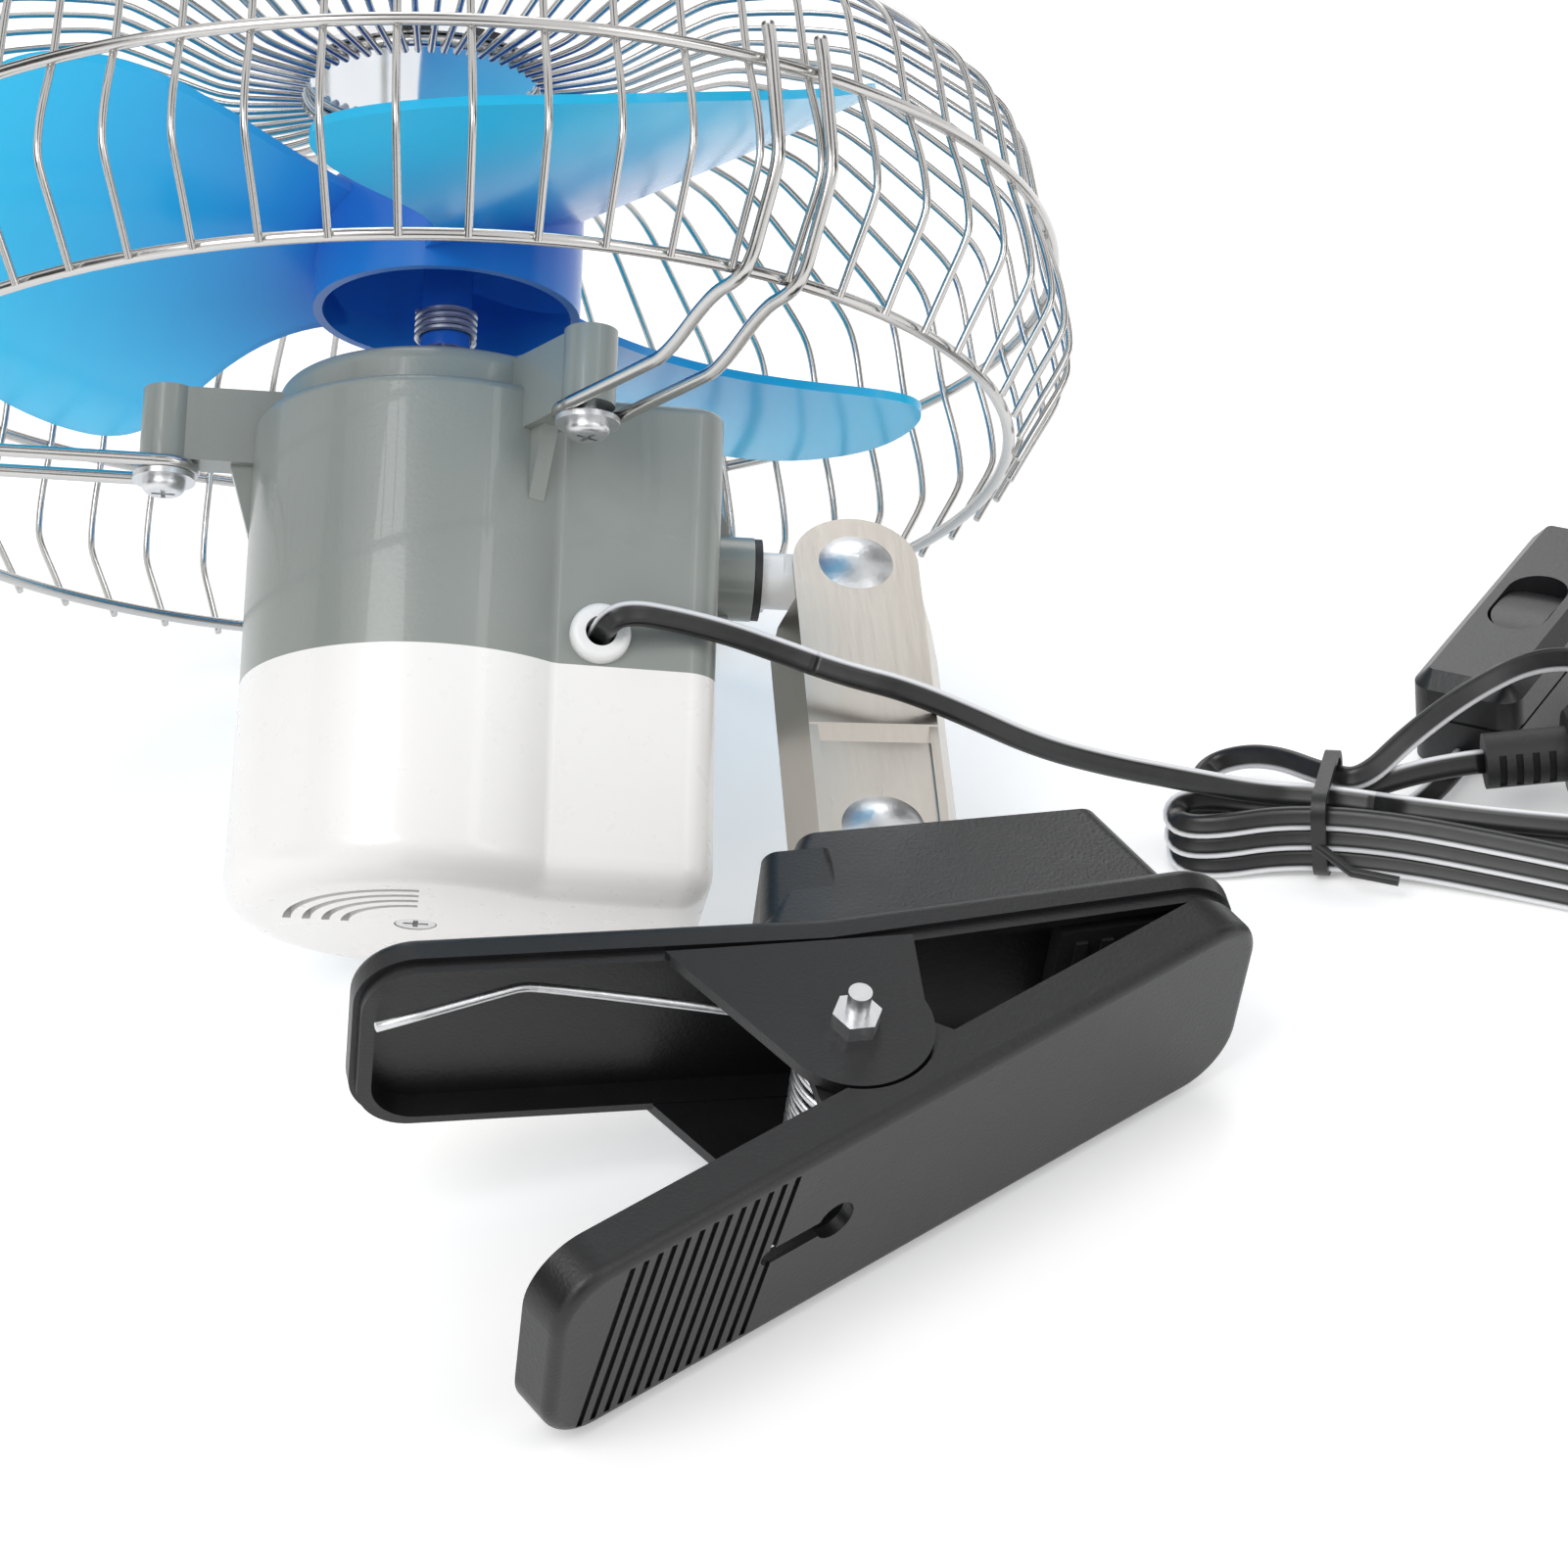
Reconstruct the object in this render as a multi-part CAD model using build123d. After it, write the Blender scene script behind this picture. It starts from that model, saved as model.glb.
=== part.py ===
"""Small oscillating clip fan, lying on a table on the rim of its guard and one side of its clip.

Three working frames are used, all in millimetres:
  head   origin where the pivot axis meets the fan axis, +X towards the pivot, +Z the way the air goes
  stand  origin on the pivot axis at the tilt rivet, +X as head, +Z up the bracket, +Y away from the rivet heads
  clip   origin on the clip's bolt, +X to the nose, +Z out of the upper jaw, +Y as stand
The finished pieces are turned so that the table is the plane z = 0.
"""
from build123d import *
import os
from math import acos, asin, atan2, ceil, cos, degrees, hypot, pi, radians, sin, sqrt, tan

# ---- guard ----
wire_count = 60
wire_d = 1.0                    # radial guard wires
ring_d = 1.7                    # guard rings
rear_ring_r = 81.0
bulge_r, bulge_up = 89.5, 11.7  # widest bend of the wires, above the rear ring
middle_ring_r, middle_ring_up = 88.0, 25.6
shoulder_r, shoulder_up = 84.5, 39.8
dome_r, dome_up = 64.0, 57.5
crown_r, crown_up = 44.0, 60.0
dish_r, dish_up = 28.0, 54.0
centre_ring_r, centre_ring_up = 17.0, 53.4
wire_phase = 2.2                # first wire, degrees from the pivot side
weld_gap = 0.06                 # welded wires touch within this
guard_off, rear_ring_z = -2.4, 15.1   # centre of the rear ring in the head frame
guard_lean = 2.7                # the guard leans this much on its bent stays
badge_r, badge_thick, badge_dome = 18.5, 1.2, 2.2
stay_d, stay_gap = 1.8, 8.2     # hairpin wire and the distance between its legs
stay_flat_r = 58.0              # legs run flat out to here, then rise to the rear ring
stay_over = 4.5                 # legs end this far past the middle ring

# ---- motor head ----
wall = 2.0
body_r = 25.5
ext_len = 38.2                  # fan axis to the end face that carries the pivot boss
ext_half, ext_end_half = 20.5, 18.6
ext_corner = 4.5
seam_z, shoulder_z = -19.9, 18.0
step_r, step_top_z = 22.5, 23.6
cover_bottom_z = -51.6
cover_grow = 0.7                # the rear cover is this much wider at its bottom
cover_round = 5.0
arm_reach, arm_thick = 37.5, 5.0
arm_low_z, arm_top_z = 11.8, 22.4
gusset_low_z = 2.0
pilot_r = 1.2
boss_r, boss_len = 5.8, 5.6
shaft_r = 3.9                   # nylon pivot shaft
pivot_fit = 0.05                # radial clearance of the pivot shaft in its boss
washer_r, washer_thick = 5.65, 1.0
tilt_x = 57.8                   # fan axis to the tilt rivet
can_r, can_low_z, can_top_z = 14.0, -16.5, 14.5
bearing_r, bearing_len = 4.0, 3.0
spindle_r = 1.15                # motor shaft
spindle_fit = 0.05
worm_r, worm_low_z, worm_high_z = 2.6, -36.5, -24.5
wheel_r, wheel_thick, wheel_x = 8.0, 4.0, 19.0
wheel_teeth = 24
worm_gap = 0.35
crank_r = 4.5
link_thick, lever_reach = 1.4, 19.0

# ---- impeller ----
hub_r, hub_wall = 18.6, 1.3
hub_open_z, hub_top_z = 36.1, 53.5
hub_boss_r, hub_boss_low_z = 3.5, 30.7
blade_count = 3
blade_tip_r = 75.5
blade_thick = 1.3
blade_phase = -59.1             # head angle of the first blade's radial line
blade_mid_z = 43.2
root_pitch, tip_pitch = 23.7, 20.3
blade_cup = 0.004               # rise of a section's ends, mm per square mm from the radial line
blade_plan = [(10.0, 10.0), (30.0, 21.0), (48.0, 28.5), (62.0, 27.0), (73.0, 10.0), (75.5, -10.0), (71.0, -27.0),
              (61.0, -43.5), (48.0, -51.0), (36.0, -36.0), (28.0, -22.0), (10.0, -12.0)]    # along, across
clip_wire_d, clip_turns = 0.8, 4.5

# ---- bracket ----
sheet = 1.2
bracket_half = 8.7
flange_deep, flange_splay = 8.0, 20.0
flange_start = 6.8              # below the tilt rivet
joggle_at, joggle = 31.0, 1.0
bracket_len = 60.0
rivet_pitch = bracket_len - 11.1    # the lower rivet keeps its distance from the bracket's end
flat_p = 3.3                    # flats on the pivot shaft's end
seat_gap = 0.05                 # face gap between parts that turn on each other
rivet_r, rivet_head_r, rivet_head_t = 2.0, 5.15, 1.4
lower_head_r, lower_head_t = 5.5, 1.9
lean = 2.7                      # the head is tilted this far on the rivet
swing = 27.6                    # the head is swung this far from square on its pivot
swing_half = 30.0               # oscillation to each side of square

# ---- clip ----
clip_half = 15.2                # half the width along the bolt
clip_skin = 1.8
clip_turn = 8.5                 # clip turned on the bracket
pin_s, pin_u = -8.4, -bracket_len - 33.7    # bolt in the stand frame
upper_back, upper_nose = 59.5, 55.0
upper_top = 18.4                # plate above the bolt at the middle
upper_bend = 3.2                # each end rises by this many degrees
upper_wall = 5.6
lower_back, lower_nose = 56.0, 56.5
lower_drop = 14.2               # outer face below the bolt
lower_wall = 6.7
jaw_angle = 26.1                # between the jaws
jaw_open = 25.0
cheek_r, cheek_slot = 10.0, 0.5
bolt_r = 1.5
nut_flats, nut_thick = 5.5, 2.4
lower_cheek_r = 7.5
cheek_gap = 0.25
corner_r = 8.0
groove_count, groove_pitch, groove_w, groove_deep = 13, 2.1, 0.9, 0.5
spring_r, spring_wire, spring_turns = 3.0, 1.5, 5.5

# ---- cord and what is on it, in the finished frame ----
cord_d = 2.8
cord_gap = 0.55                 # between strands that lie on each other
tie_x, tie_y = 113.5, -2.0      # where the bundle is tied
left_turn, right_turn = -13.0, -25.0    # directions of the bundle to either side of its tie
lane = 3.5                      # between strands side by side at the tie
hank_loops = 3
left_reach, left_half = 21.0, 6.2
right_reach, right_half = 74.0, 9.5
lead_split = 3                  # the lead's two pieces meet in the run after this point of its route
lead_route = [(20.5, -9.3, 57.2), (26.8, -7.2, 53.8), (33.7, -6.4, 50.2), (40.7, -7.6, 46.8), (48.4, -10.4, 44.0),
              (56.0, -12.6, 41.9), (64.2, -11.6, 36.0), (73.4, -8.6, 27.9), (83.2, -4.6, 21.0), (92.8, -1.6, 15.6)]
switch_x, switch_y, switch_turn = 149.6, 34.0, 55.0
switch_len, switch_wide, switch_high = 48.0, 16.4, 15.0
plug_x, plug_y, plug_turn = 136.2, 0.6, -3.0
plug_r, plug_len, plug_neck_r = 10.3, 52.0, 7.6
relief_r, relief_len = 3.9, 11.5
contact_bow = 1.25               # the side springs stand as the socket presses them, within its bore
tie_thick, tie_wide = 1.0, 2.0   # wire tie
tie_slack = 1.0
tie_lift = tie_thick + 0.5       # strands rise this much over the tie


def turned(shape, angle, axis=Axis.Z):
    """shape turned about an axis through the origin"""
    return shape.rotate(axis, angle)


def rod(p, q, r):
    """round bar from point p to point q"""
    plane = Plane(p, z_dir=q - p)
    return extrude(plane * Circle(r), (q - p).length)


def ring(r, d, z=0.0):
    """wire ring of section diameter d about Z"""
    return Pos(0, 0, z) * Torus(r, d / 2)


def bent_wire(points, d, sides=6):
    """straight-sided wire along a planar bent line, with few faces"""
    path = Polyline(*points)
    start = Plane(path @ 0, z_dir=path % 0)
    section = start * RegularPolygon(d / 2 * 1.05, sides)
    return sweep(section, path=path, transition=Transition.RIGHT)


# ---------------------------------------------------------------- head frame
def guard_place():
    """where the guard's own frame lies in the head frame"""
    return Pos(guard_off, 0, rear_ring_z) * Rot(0, -guard_lean, 0)


def guard_rings():
    """rear, middle and centre rings"""
    rear = ring(rear_ring_r, ring_d)
    middle = ring(middle_ring_r, ring_d, middle_ring_up)
    centre = ring(centre_ring_r, ring_d, centre_ring_up + (ring_d + wire_d) / 2 + weld_gap)
    return [guard_place() * r for r in (rear, middle, centre)]


def guard_line():
    """a guard wire's line, as (radius, height above the rear ring)"""
    inside = (ring_d + wire_d) / 2 + weld_gap
    return [(rear_ring_r + inside, -0.5 * ring_d), (bulge_r, bulge_up), (middle_ring_r - inside, middle_ring_up),
            (shoulder_r, shoulder_up), (dome_r, dome_up), (crown_r, crown_up), (dish_r, dish_up),
            (centre_ring_r, centre_ring_up)]


def guard_wires(front):
    """every wire is mitred at the shoulder, where the front of the guard meets its side"""
    line = [Vector(r, 0, up) for r, up in guard_line()]
    wire = bent_wire(line, wire_d)
    into = (line[3] - line[2]).normalized() + (line[4] - line[3]).normalized()
    half = split(wire, bisect_by=Plane(line[3], z_dir=into), keep=Keep.TOP if front else Keep.BOTTOM)
    step = 360.0 / wire_count
    return [guard_place() * turned(half, wire_phase + step * i) for i in range(wire_count)]


def guard_badge():
    """plain domed disc in front of the centre ring"""
    low = centre_ring_up + ring_d + wire_d / 2 + weld_gap
    ball_r = (badge_r ** 2 + badge_dome ** 2) / (2 * badge_dome)
    cap = Pos(0, 0, low + badge_thick + badge_dome - ball_r) * Sphere(ball_r)
    disc = Pos(0, 0, low) * Cylinder(badge_r, badge_thick + badge_dome,
                                     align=(Align.CENTER, Align.CENTER, Align.MIN))
    return guard_place() * (disc & cap)


def on_guard(r, up, y, angle):
    """head-frame point above the ring, beside a hairpin's plane by y"""
    x = sqrt(r ** 2 - y ** 2)
    return (guard_place() * Rot(0, 0, angle) * Pos(x, y, up)).position


def guard_stay(angle):
    """hairpin wire: an eye round the arm's screw and two legs that run over the rings"""
    low = arm_low_z - stay_d / 2
    outside = (ring_d + stay_d) / 2
    place = Rot(0, 0, angle)
    legs = []
    for side in (1, -1):
        y = side * stay_gap / 2
        near = [(place * Pos(x, y, low)).position for x in (arm_reach, stay_flat_r)]
        beside = outside + weld_gap
        far = [on_guard(r, up, y, angle) for r, up in (
            (rear_ring_r - 1.0, -beside - weld_gap), (rear_ring_r + beside + 1.4, -0.8 * ring_d),
            (bulge_r + (wire_d + stay_d) / 2 + 2 * weld_gap, bulge_up), (middle_ring_r + beside, middle_ring_up),
            (middle_ring_r + beside - 0.7, middle_ring_up + stay_over))]
        points = near + far
        for a, b in zip(points, points[1:]):
            legs.append(rod(a, b, stay_d / 2))
        legs += [Pos(*p) * Sphere(stay_d / 2) for p in points[1:-1]]
    eye = Pos(arm_reach, 0, low) * Torus(stay_gap / 2, stay_d / 2)
    half = Pos(arm_reach - stay_gap, 0, low) * Box(2 * stay_gap, 4 * stay_gap, 4 * stay_d)
    return place * (eye & half) + legs


def arm_places():
    return [60.0, 180.0, 300.0]


def guard_stays():
    return [guard_stay(a) for a in arm_places()]


def stay_screws():
    """pan-head screw with its washer under each arm"""
    low = arm_low_z - stay_d
    washer = Pos(arm_reach, 0, low) * Cylinder(4.35, 0.8, align=(Align.CENTER, Align.CENTER, Align.MAX))
    head = Pos(arm_reach, 0, low - 0.8) * Cylinder(3.0, 1.8, align=(Align.CENTER, Align.CENTER, Align.MAX))
    head = fillet(head.edges().sort_by(Axis.Z)[0], 1.2)
    shank = Pos(arm_reach, 0, low - 0.8) * Cylinder(pilot_r, stay_d + 0.8 + 7.0,
                                                   align=(Align.CENTER, Align.CENTER, Align.MIN))
    slot = Pos(arm_reach, 0, low - 2.6) * Box(3.2, 0.6, 1.2)
    screw = head + washer + shank - slot - slot.rotate(Axis((arm_reach, 0, 0), (0, 0, 1)), 90)
    return [turned(screw, a) for a in arm_places()]


def body_face(grow=0.0):
    """plan of the motor housing: a round body with a squarer extension to the pivot side"""
    pts = [(0, -ext_half - grow), (ext_len + grow, -ext_end_half - grow),
           (ext_len + grow, ext_end_half + grow), (0, ext_half + grow)]
    ext = make_face(Polyline(*pts, close=True))
    ext = fillet(ext.vertices().group_by(Axis.X)[-1], max(ext_corner + grow, 0.5))
    face = Circle(body_r + grow) + ext
    inner_corners = face.vertices().filter_by(lambda v: abs(v.X - sqrt(body_r ** 2 - ext_half ** 2)) < 3)
    return fillet(inner_corners, 3.0)


def housing_front():
    """grey front housing with its arms and the boss of the pivot"""
    height = shoulder_z - seam_z
    shell = Pos(0, 0, seam_z) * extrude(body_face(), height)
    top = shell.faces().sort_by(Axis.Z)[-1]
    shell = fillet(top.edges(), 1.2)
    step = Pos(0, 0, shoulder_z - 1) * Cylinder(step_r, step_top_z - shoulder_z + 1,
                                                align=(Align.CENTER, Align.CENTER, Align.MIN))
    step = fillet(step.faces().sort_by(Axis.Z)[-1].edges(), 2.2)
    boss = Pos(ext_len - 1, 0, 0) * Rot(0, 90, 0) * Cylinder(boss_r, boss_len + 1,
                                                            align=(Align.CENTER, Align.CENTER, Align.MIN))
    rib_up = 4.2
    rib = extrude(Plane.XZ * make_face(Polyline((ext_len - 1, -boss_r - rib_up), (ext_len - 1, boss_r + rib_up),
                                                (ext_len + 0.8, boss_r + rib_up), (ext_len + 2.6, boss_r - 0.3),
                                                (ext_len + 2.6, 0.3 - boss_r), (ext_len + 0.8, -boss_r - rib_up),
                                                close=True)), 0.8, both=True)
    solid = shell + step + boss + rib
    for a in arm_places():
        solid += turned(arm(), a)
    inner = Pos(0, 0, seam_z - 1) * extrude(body_face(-wall), height - wall + 1)
    inner += Pos(0, 0, shoulder_z - wall - 1) * Cylinder(step_r - wall, step_top_z - shoulder_z + 1,
                                                         align=(Align.CENTER, Align.CENTER, Align.MIN))
    solid -= inner
    seat_top = step_top_z - wall
    ring_wall = Pos(0, 0, seat_top - bearing_len) * Cylinder(bearing_r + 1.6, bearing_len + 0.5,
                                                             align=(Align.CENTER, Align.CENTER, Align.MIN))
    solid += ring_wall
    solid -= Pos(0, 0, seat_top - bearing_len - 1) * Cylinder(bearing_r, bearing_len + 1,
                                                              align=(Align.CENTER, Align.CENTER, Align.MIN))
    solid -= Cylinder(spindle_r + 0.6, 4 * step_top_z)
    solid -= Pos(ext_len - wall - 2, 0, 0) * Rot(0, 90, 0) * Cylinder(
        shaft_r + pivot_fit, boss_len + wall + 4, align=(Align.CENTER, Align.CENTER, Align.MIN))
    solid -= grommet_hole()
    for a in arm_places():
        solid -= turned(Pos(arm_reach, 0, arm_low_z - 1) * Cylinder(pilot_r, 8.6, align=(
            Align.CENTER, Align.CENTER, Align.MIN)), a)
    return solid


def arm():
    """one arm with a rounded end and a gusset under its root"""
    high = arm_top_z - arm_low_z
    mid = (arm_top_z + arm_low_z) / 2
    root = step_r - 2.5
    plate = Pos((root + arm_reach) / 2, 0, mid) * Box(arm_reach - root, arm_thick, high)
    end = Pos(arm_reach, 0, mid) * Cylinder(arm_thick / 2 + 1.1, high)
    gusset = extrude(Plane.XZ * make_face(Polyline((body_r - 1.2, arm_low_z + 0.5), (body_r + 3.2, arm_low_z + 0.5),
                                                   (body_r + 0.1, gusset_low_z), (body_r - 1.2, gusset_low_z),
                                                   close=True)), 1.2, both=True)
    return plate + end + gusset


grommet_x, grommet_z = 22.2, -15.5
grommet_r, grommet_flange_r, grommet_bore_r = 2.9, 4.1, 2.1


def ext_side_y(x, grow=0.0):
    """half width of the extension at x"""
    return ext_half + grow - (ext_half - ext_end_half) * x / (ext_len + grow)


def grommet_plane():
    """plane on the housing's side wall at the cord's hole, facing out"""
    slope = (ext_half - ext_end_half) / ext_len
    normal = Vector(slope, -1, 0).normalized()
    return Plane(Vector(grommet_x, -ext_side_y(grommet_x), grommet_z), x_dir=(0, 0, 1), z_dir=normal)


def grommet_hole():
    return extrude(grommet_plane().offset(-wall - 2) * Circle(grommet_r), wall + 4)


def cord_grommet():
    """white bush with a rounded flange outside and a collar inside"""
    plane = grommet_plane()
    flange = extrude(plane * Circle(grommet_flange_r), 1.9)
    flange = fillet(flange.faces().sort_by(Axis(plane.origin, plane.z_dir))[-1].edges(), 1.1)
    neck = extrude(plane.offset(-wall) * Circle(grommet_r), wall)
    bore = extrude(plane.offset(-wall - 3) * Circle(grommet_bore_r), wall + 8)
    return flange + neck - bore


def rear_cover():
    """white rear cover, wider towards its rounded bottom, with curved vents and a screw well"""
    deep = seam_z - cover_bottom_z
    shell = Pos(0, 0, seam_z) * extrude(body_face(), -deep, taper=-degrees(atan2(cover_grow, deep)))
    shell = fillet(shell.faces().sort_by(Axis.Z)[0].edges(), cover_round)
    inner = Pos(0, 0, cover_bottom_z + wall) * extrude(body_face(-wall), deep)
    shell -= inner
    post = Pos(0, 0, cover_bottom_z + 0.5) * Cylinder(3.2, deep * 0.3, align=(Align.CENTER, Align.CENTER, Align.MIN))
    shell += post
    shell -= Pos(0, 0, cover_bottom_z) * Cylinder(2.9, 1.4, align=(Align.CENTER, Align.CENTER, Align.MIN))
    shell -= Pos(0, 0, cover_bottom_z) * Cylinder(pilot_r, deep, align=(Align.CENTER, Align.CENTER, Align.MIN))
    vent_w, vent_step, vent_first = 1.1, 2.6, 9.5
    for i in range(4):
        r = vent_first + vent_step * i
        slot = Cylinder(r + vent_w / 2, 3 * wall) - Cylinder(r - vent_w / 2, 4 * wall)
        sector = Pos(-r, -r, 0) * Box(2 * r, 2 * r, 8 * wall)
        shell -= Pos(0, 0, cover_bottom_z) * (slot & sector)
    return shell


def cover_screw():
    low = cover_bottom_z + 1.4
    head = Pos(0, 0, low) * Cylinder(2.7, 1.3, align=(Align.CENTER, Align.CENTER, Align.MAX))
    shank = Pos(0, 0, low) * Cylinder(pilot_r, 9.0, align=(Align.CENTER, Align.CENTER, Align.MIN))
    slot = Pos(0, 0, low - 1.3) * Box(3.4, 0.7, 1.4)
    return head + shank - slot - slot.rotate(Axis.Z, 90)


def motor_can():
    """deep-drawn can with flats on two sides and a boss at each end"""
    high = can_top_z - can_low_z
    can = Pos(0, 0, can_low_z) * Cylinder(can_r, high, align=(Align.CENTER, Align.CENTER, Align.MIN))
    can = fillet(can.edges().filter_by(GeomType.CIRCLE), 1.2)
    flats = Pos(0, 0, (can_top_z + can_low_z) / 2) * Box(2 * can_r + 2, 2 * (can_r - 2.2), high + 2)
    can = can & flats
    neck_up = step_top_z - wall - bearing_len - can_top_z - 0.3
    can += Pos(0, 0, can_top_z - 0.5) * Cylinder(bearing_r + 1, neck_up + 0.5,
                                                 align=(Align.CENTER, Align.CENTER, Align.MIN))
    can += Pos(0, 0, can_low_z + 0.5) * Cylinder(bearing_r + 1, 3.0, align=(Align.CENTER, Align.CENTER, Align.MAX))
    can -= Pos(0, 0, can_low_z - 2.5) * Cylinder(bearing_r, bearing_len, align=(
        Align.CENTER, Align.CENTER, Align.MIN))
    can -= Cylinder(spindle_r + 0.5, 6 * high)
    return can


def motor_bearings():
    """sintered bushes in the housing's nose and the can's tail"""
    hole = Cylinder(spindle_r + spindle_fit, 200)
    front = Pos(0, 0, step_top_z - wall - bearing_len) * Cylinder(bearing_r, bearing_len, align=(
        Align.CENTER, Align.CENTER, Align.MIN))
    rear = Pos(0, 0, can_low_z - 2.5) * Cylinder(bearing_r, bearing_len, align=(
        Align.CENTER, Align.CENTER, Align.MIN))
    return [front - hole, rear - hole]


def motor_shaft():
    return Pos(0, 0, worm_low_z) * Cylinder(spindle_r, hub_top_z - 4.0 - worm_low_z, align=(
        Align.CENTER, Align.CENTER, Align.MIN))


def worm():
    """worm on the shaft's tail, its thread as plain collars"""
    high = worm_high_z - worm_low_z
    core = Pos(0, 0, worm_low_z) * Cylinder(worm_r - 0.8, high, align=(Align.CENTER, Align.CENTER, Align.MIN))
    pitch = 2 * pi * wheel_r / wheel_teeth
    count = int(high / pitch)
    for i in range(count):
        core += Pos(0, 0, worm_low_z + pitch * (i + 0.5)) * Cylinder(worm_r, pitch * 0.4)
    return core - Cylinder(spindle_r, 200)


def wheel_centre():
    """centre of the crank wheel: it meshes beside the worm"""
    return 0.0, worm_r + wheel_r + worm_gap, (worm_low_z + worm_high_z) / 2


def crank_wheel():
    """worm wheel with a crank pin, turning about a line parallel to the pivot"""
    _, y, z = wheel_centre()
    axis = Pos(wheel_x - 17.0, y, z) * Rot(0, 90, 0)
    blank = Cylinder(wheel_r, wheel_thick)
    for i in range(wheel_teeth):
        notch = Rot(0, 0, 360.0 * i / wheel_teeth) * Pos(wheel_r, 0, 0) * Box(1.6, 0.9, wheel_thick + 1)
        blank -= notch
    hub = Pos(0, 0, wheel_thick / 2 - 0.1) * Cylinder(3.0, 16.0, align=(Align.CENTER, Align.CENTER, Align.MIN))
    disc = Pos(0, 0, 14.0) * Cylinder(6.4, 2.0, align=(Align.CENTER, Align.CENTER, Align.MIN))
    pin = Pos(crank_r, 0, 16.0) * Cylinder(1.2, 2.0, align=(Align.CENTER, Align.CENTER, Align.MIN))
    return axis * (blank + hub + disc + pin)


def pivot_shaft():
    """nylon shaft: inner lever, round journal and a flat-sided end with the rivet's hole"""
    inner = ext_len - wall - 3.0
    end = tilt_x + 5.2
    bar = Pos(inner - 4, 0, 0) * Rot(0, 90, 0) * Cylinder(shaft_r, end - inner + 4, align=(
        Align.CENTER, Align.CENTER, Align.MIN))
    collar = Pos(inner, 0, 0) * Rot(0, 90, 0) * Cylinder(boss_r, 2.5, align=(Align.CENTER, Align.CENTER, Align.MIN))
    bar += collar
    bar = bar.rotate(Axis.X, -swing)
    cut_len = 30.0
    for side in (1, -1):
        cut = Pos(tilt_x - bracket_half - 1.2, side * (flat_p + 5), 0) * Box(
            cut_len, 10, 20, align=(Align.MIN, Align.CENTER, Align.CENTER))
        bar -= cut.rotate(Axis.X, -swing)
    hole = Pos(tilt_x, 0, 0) * Rot(90, 0, 0) * Cylinder(rivet_r + seat_gap, 30)
    return bar - hole.rotate(Axis.X, -swing)


def drive_link():
    """flat lever on the shaft's inner end, its far eye open beside the crank pin"""
    x = ext_len - wall - 7.0
    reach = lever_reach
    bar = Pos(0, 0, -reach / 2) * Box(link_thick, 4.0, reach)
    eyes = Rot(0, 90, 0) * Cylinder(4.6, link_thick) + Pos(0, 0, -reach) * Rot(0, 90, 0) * Cylinder(2.6, link_thick)
    link = bar + eyes - Rot(0, 90, 0) * Cylinder(shaft_r, 10) - Pos(0, 0, -reach) * Rot(0, 90, 0) * Cylinder(1.4, 10)
    return Pos(x, 0, 0) * link.rotate(Axis.X, -swing)


def pivot_washer():
    start = ext_len + boss_len + 0.1
    washer = Cylinder(washer_r, washer_thick, align=(Align.CENTER, Align.CENTER, Align.MIN)) - Cylinder(shaft_r, 9)
    return Pos(start, 0, 0) * Rot(0, 90, 0) * washer


def blade():
    """one raked paddle: a cupped, twisted plate, trimmed to its rounded plan"""
    ahead, behind = min(v for _, v in blade_plan) - 6.0, max(v for _, v in blade_plan) + 6.0

    def strip(u, pitch):
        plane = Plane((u, 0, blade_mid_z), x_dir=(0, 1, 0), z_dir=(1, 0, 0))

        def arc(lift):
            return ThreePointArc(*[(v, v * tan(radians(pitch)) + blade_cup * v * v + lift) for v in (ahead, 0, behind)])
        low, high = arc(0), arc(blade_thick)
        return plane * make_face([low, high, Line(low @ 0, high @ 0), Line(low @ 1, high @ 1)])
    plate = loft([strip(hub_r - 12, root_pitch), strip(blade_tip_r + 2, tip_pitch)])
    edge = Spline(*blade_plan)
    plan = make_face([edge, Line(blade_plan[-1], blade_plan[0])])
    return plate & (Pos(0, 0, hub_open_z - 30) * extrude(plan, hub_top_z - hub_open_z + 60))


def fan_impeller():
    """hub cup with its boss and the blades"""
    high = hub_top_z - hub_open_z
    cup = Pos(0, 0, hub_open_z) * Cylinder(hub_r, high, align=(Align.CENTER, Align.CENTER, Align.MIN))
    cup = fillet(cup.faces().sort_by(Axis.Z)[-1].edges(), 2.0)
    blades = [turned(blade(), blade_phase + 360.0 / blade_count * i) for i in range(blade_count)]
    solid = cup + blades
    solid -= Pos(0, 0, hub_open_z - 30) * Cylinder(hub_r - hub_wall, high - hub_wall + 30, align=(
        Align.CENTER, Align.CENTER, Align.MIN))
    boss = Pos(0, 0, hub_boss_low_z) * Cylinder(hub_boss_r, hub_top_z - hub_boss_low_z - 0.6, align=(
        Align.CENTER, Align.CENTER, Align.MIN))
    solid += boss
    return solid - Pos(0, 0, hub_boss_low_z - 1) * Cylinder(spindle_r, hub_top_z - 4.0 - hub_boss_low_z + 1, align=(
        Align.CENTER, Align.CENTER, Align.MIN))


def hub_clip():
    """wound wire clip round the hub's boss"""
    r = hub_boss_r + clip_wire_d / 2 + 0.1
    pitch = clip_wire_d + 0.15
    path = Helix(pitch, pitch * clip_turns, r, center=(0, 0, hub_boss_low_z + 1.6))
    section = Plane(path @ 0, z_dir=path % 0) * RegularPolygon(clip_wire_d / 2, 6)
    return sweep(section, path=path, is_frenet=True)


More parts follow.
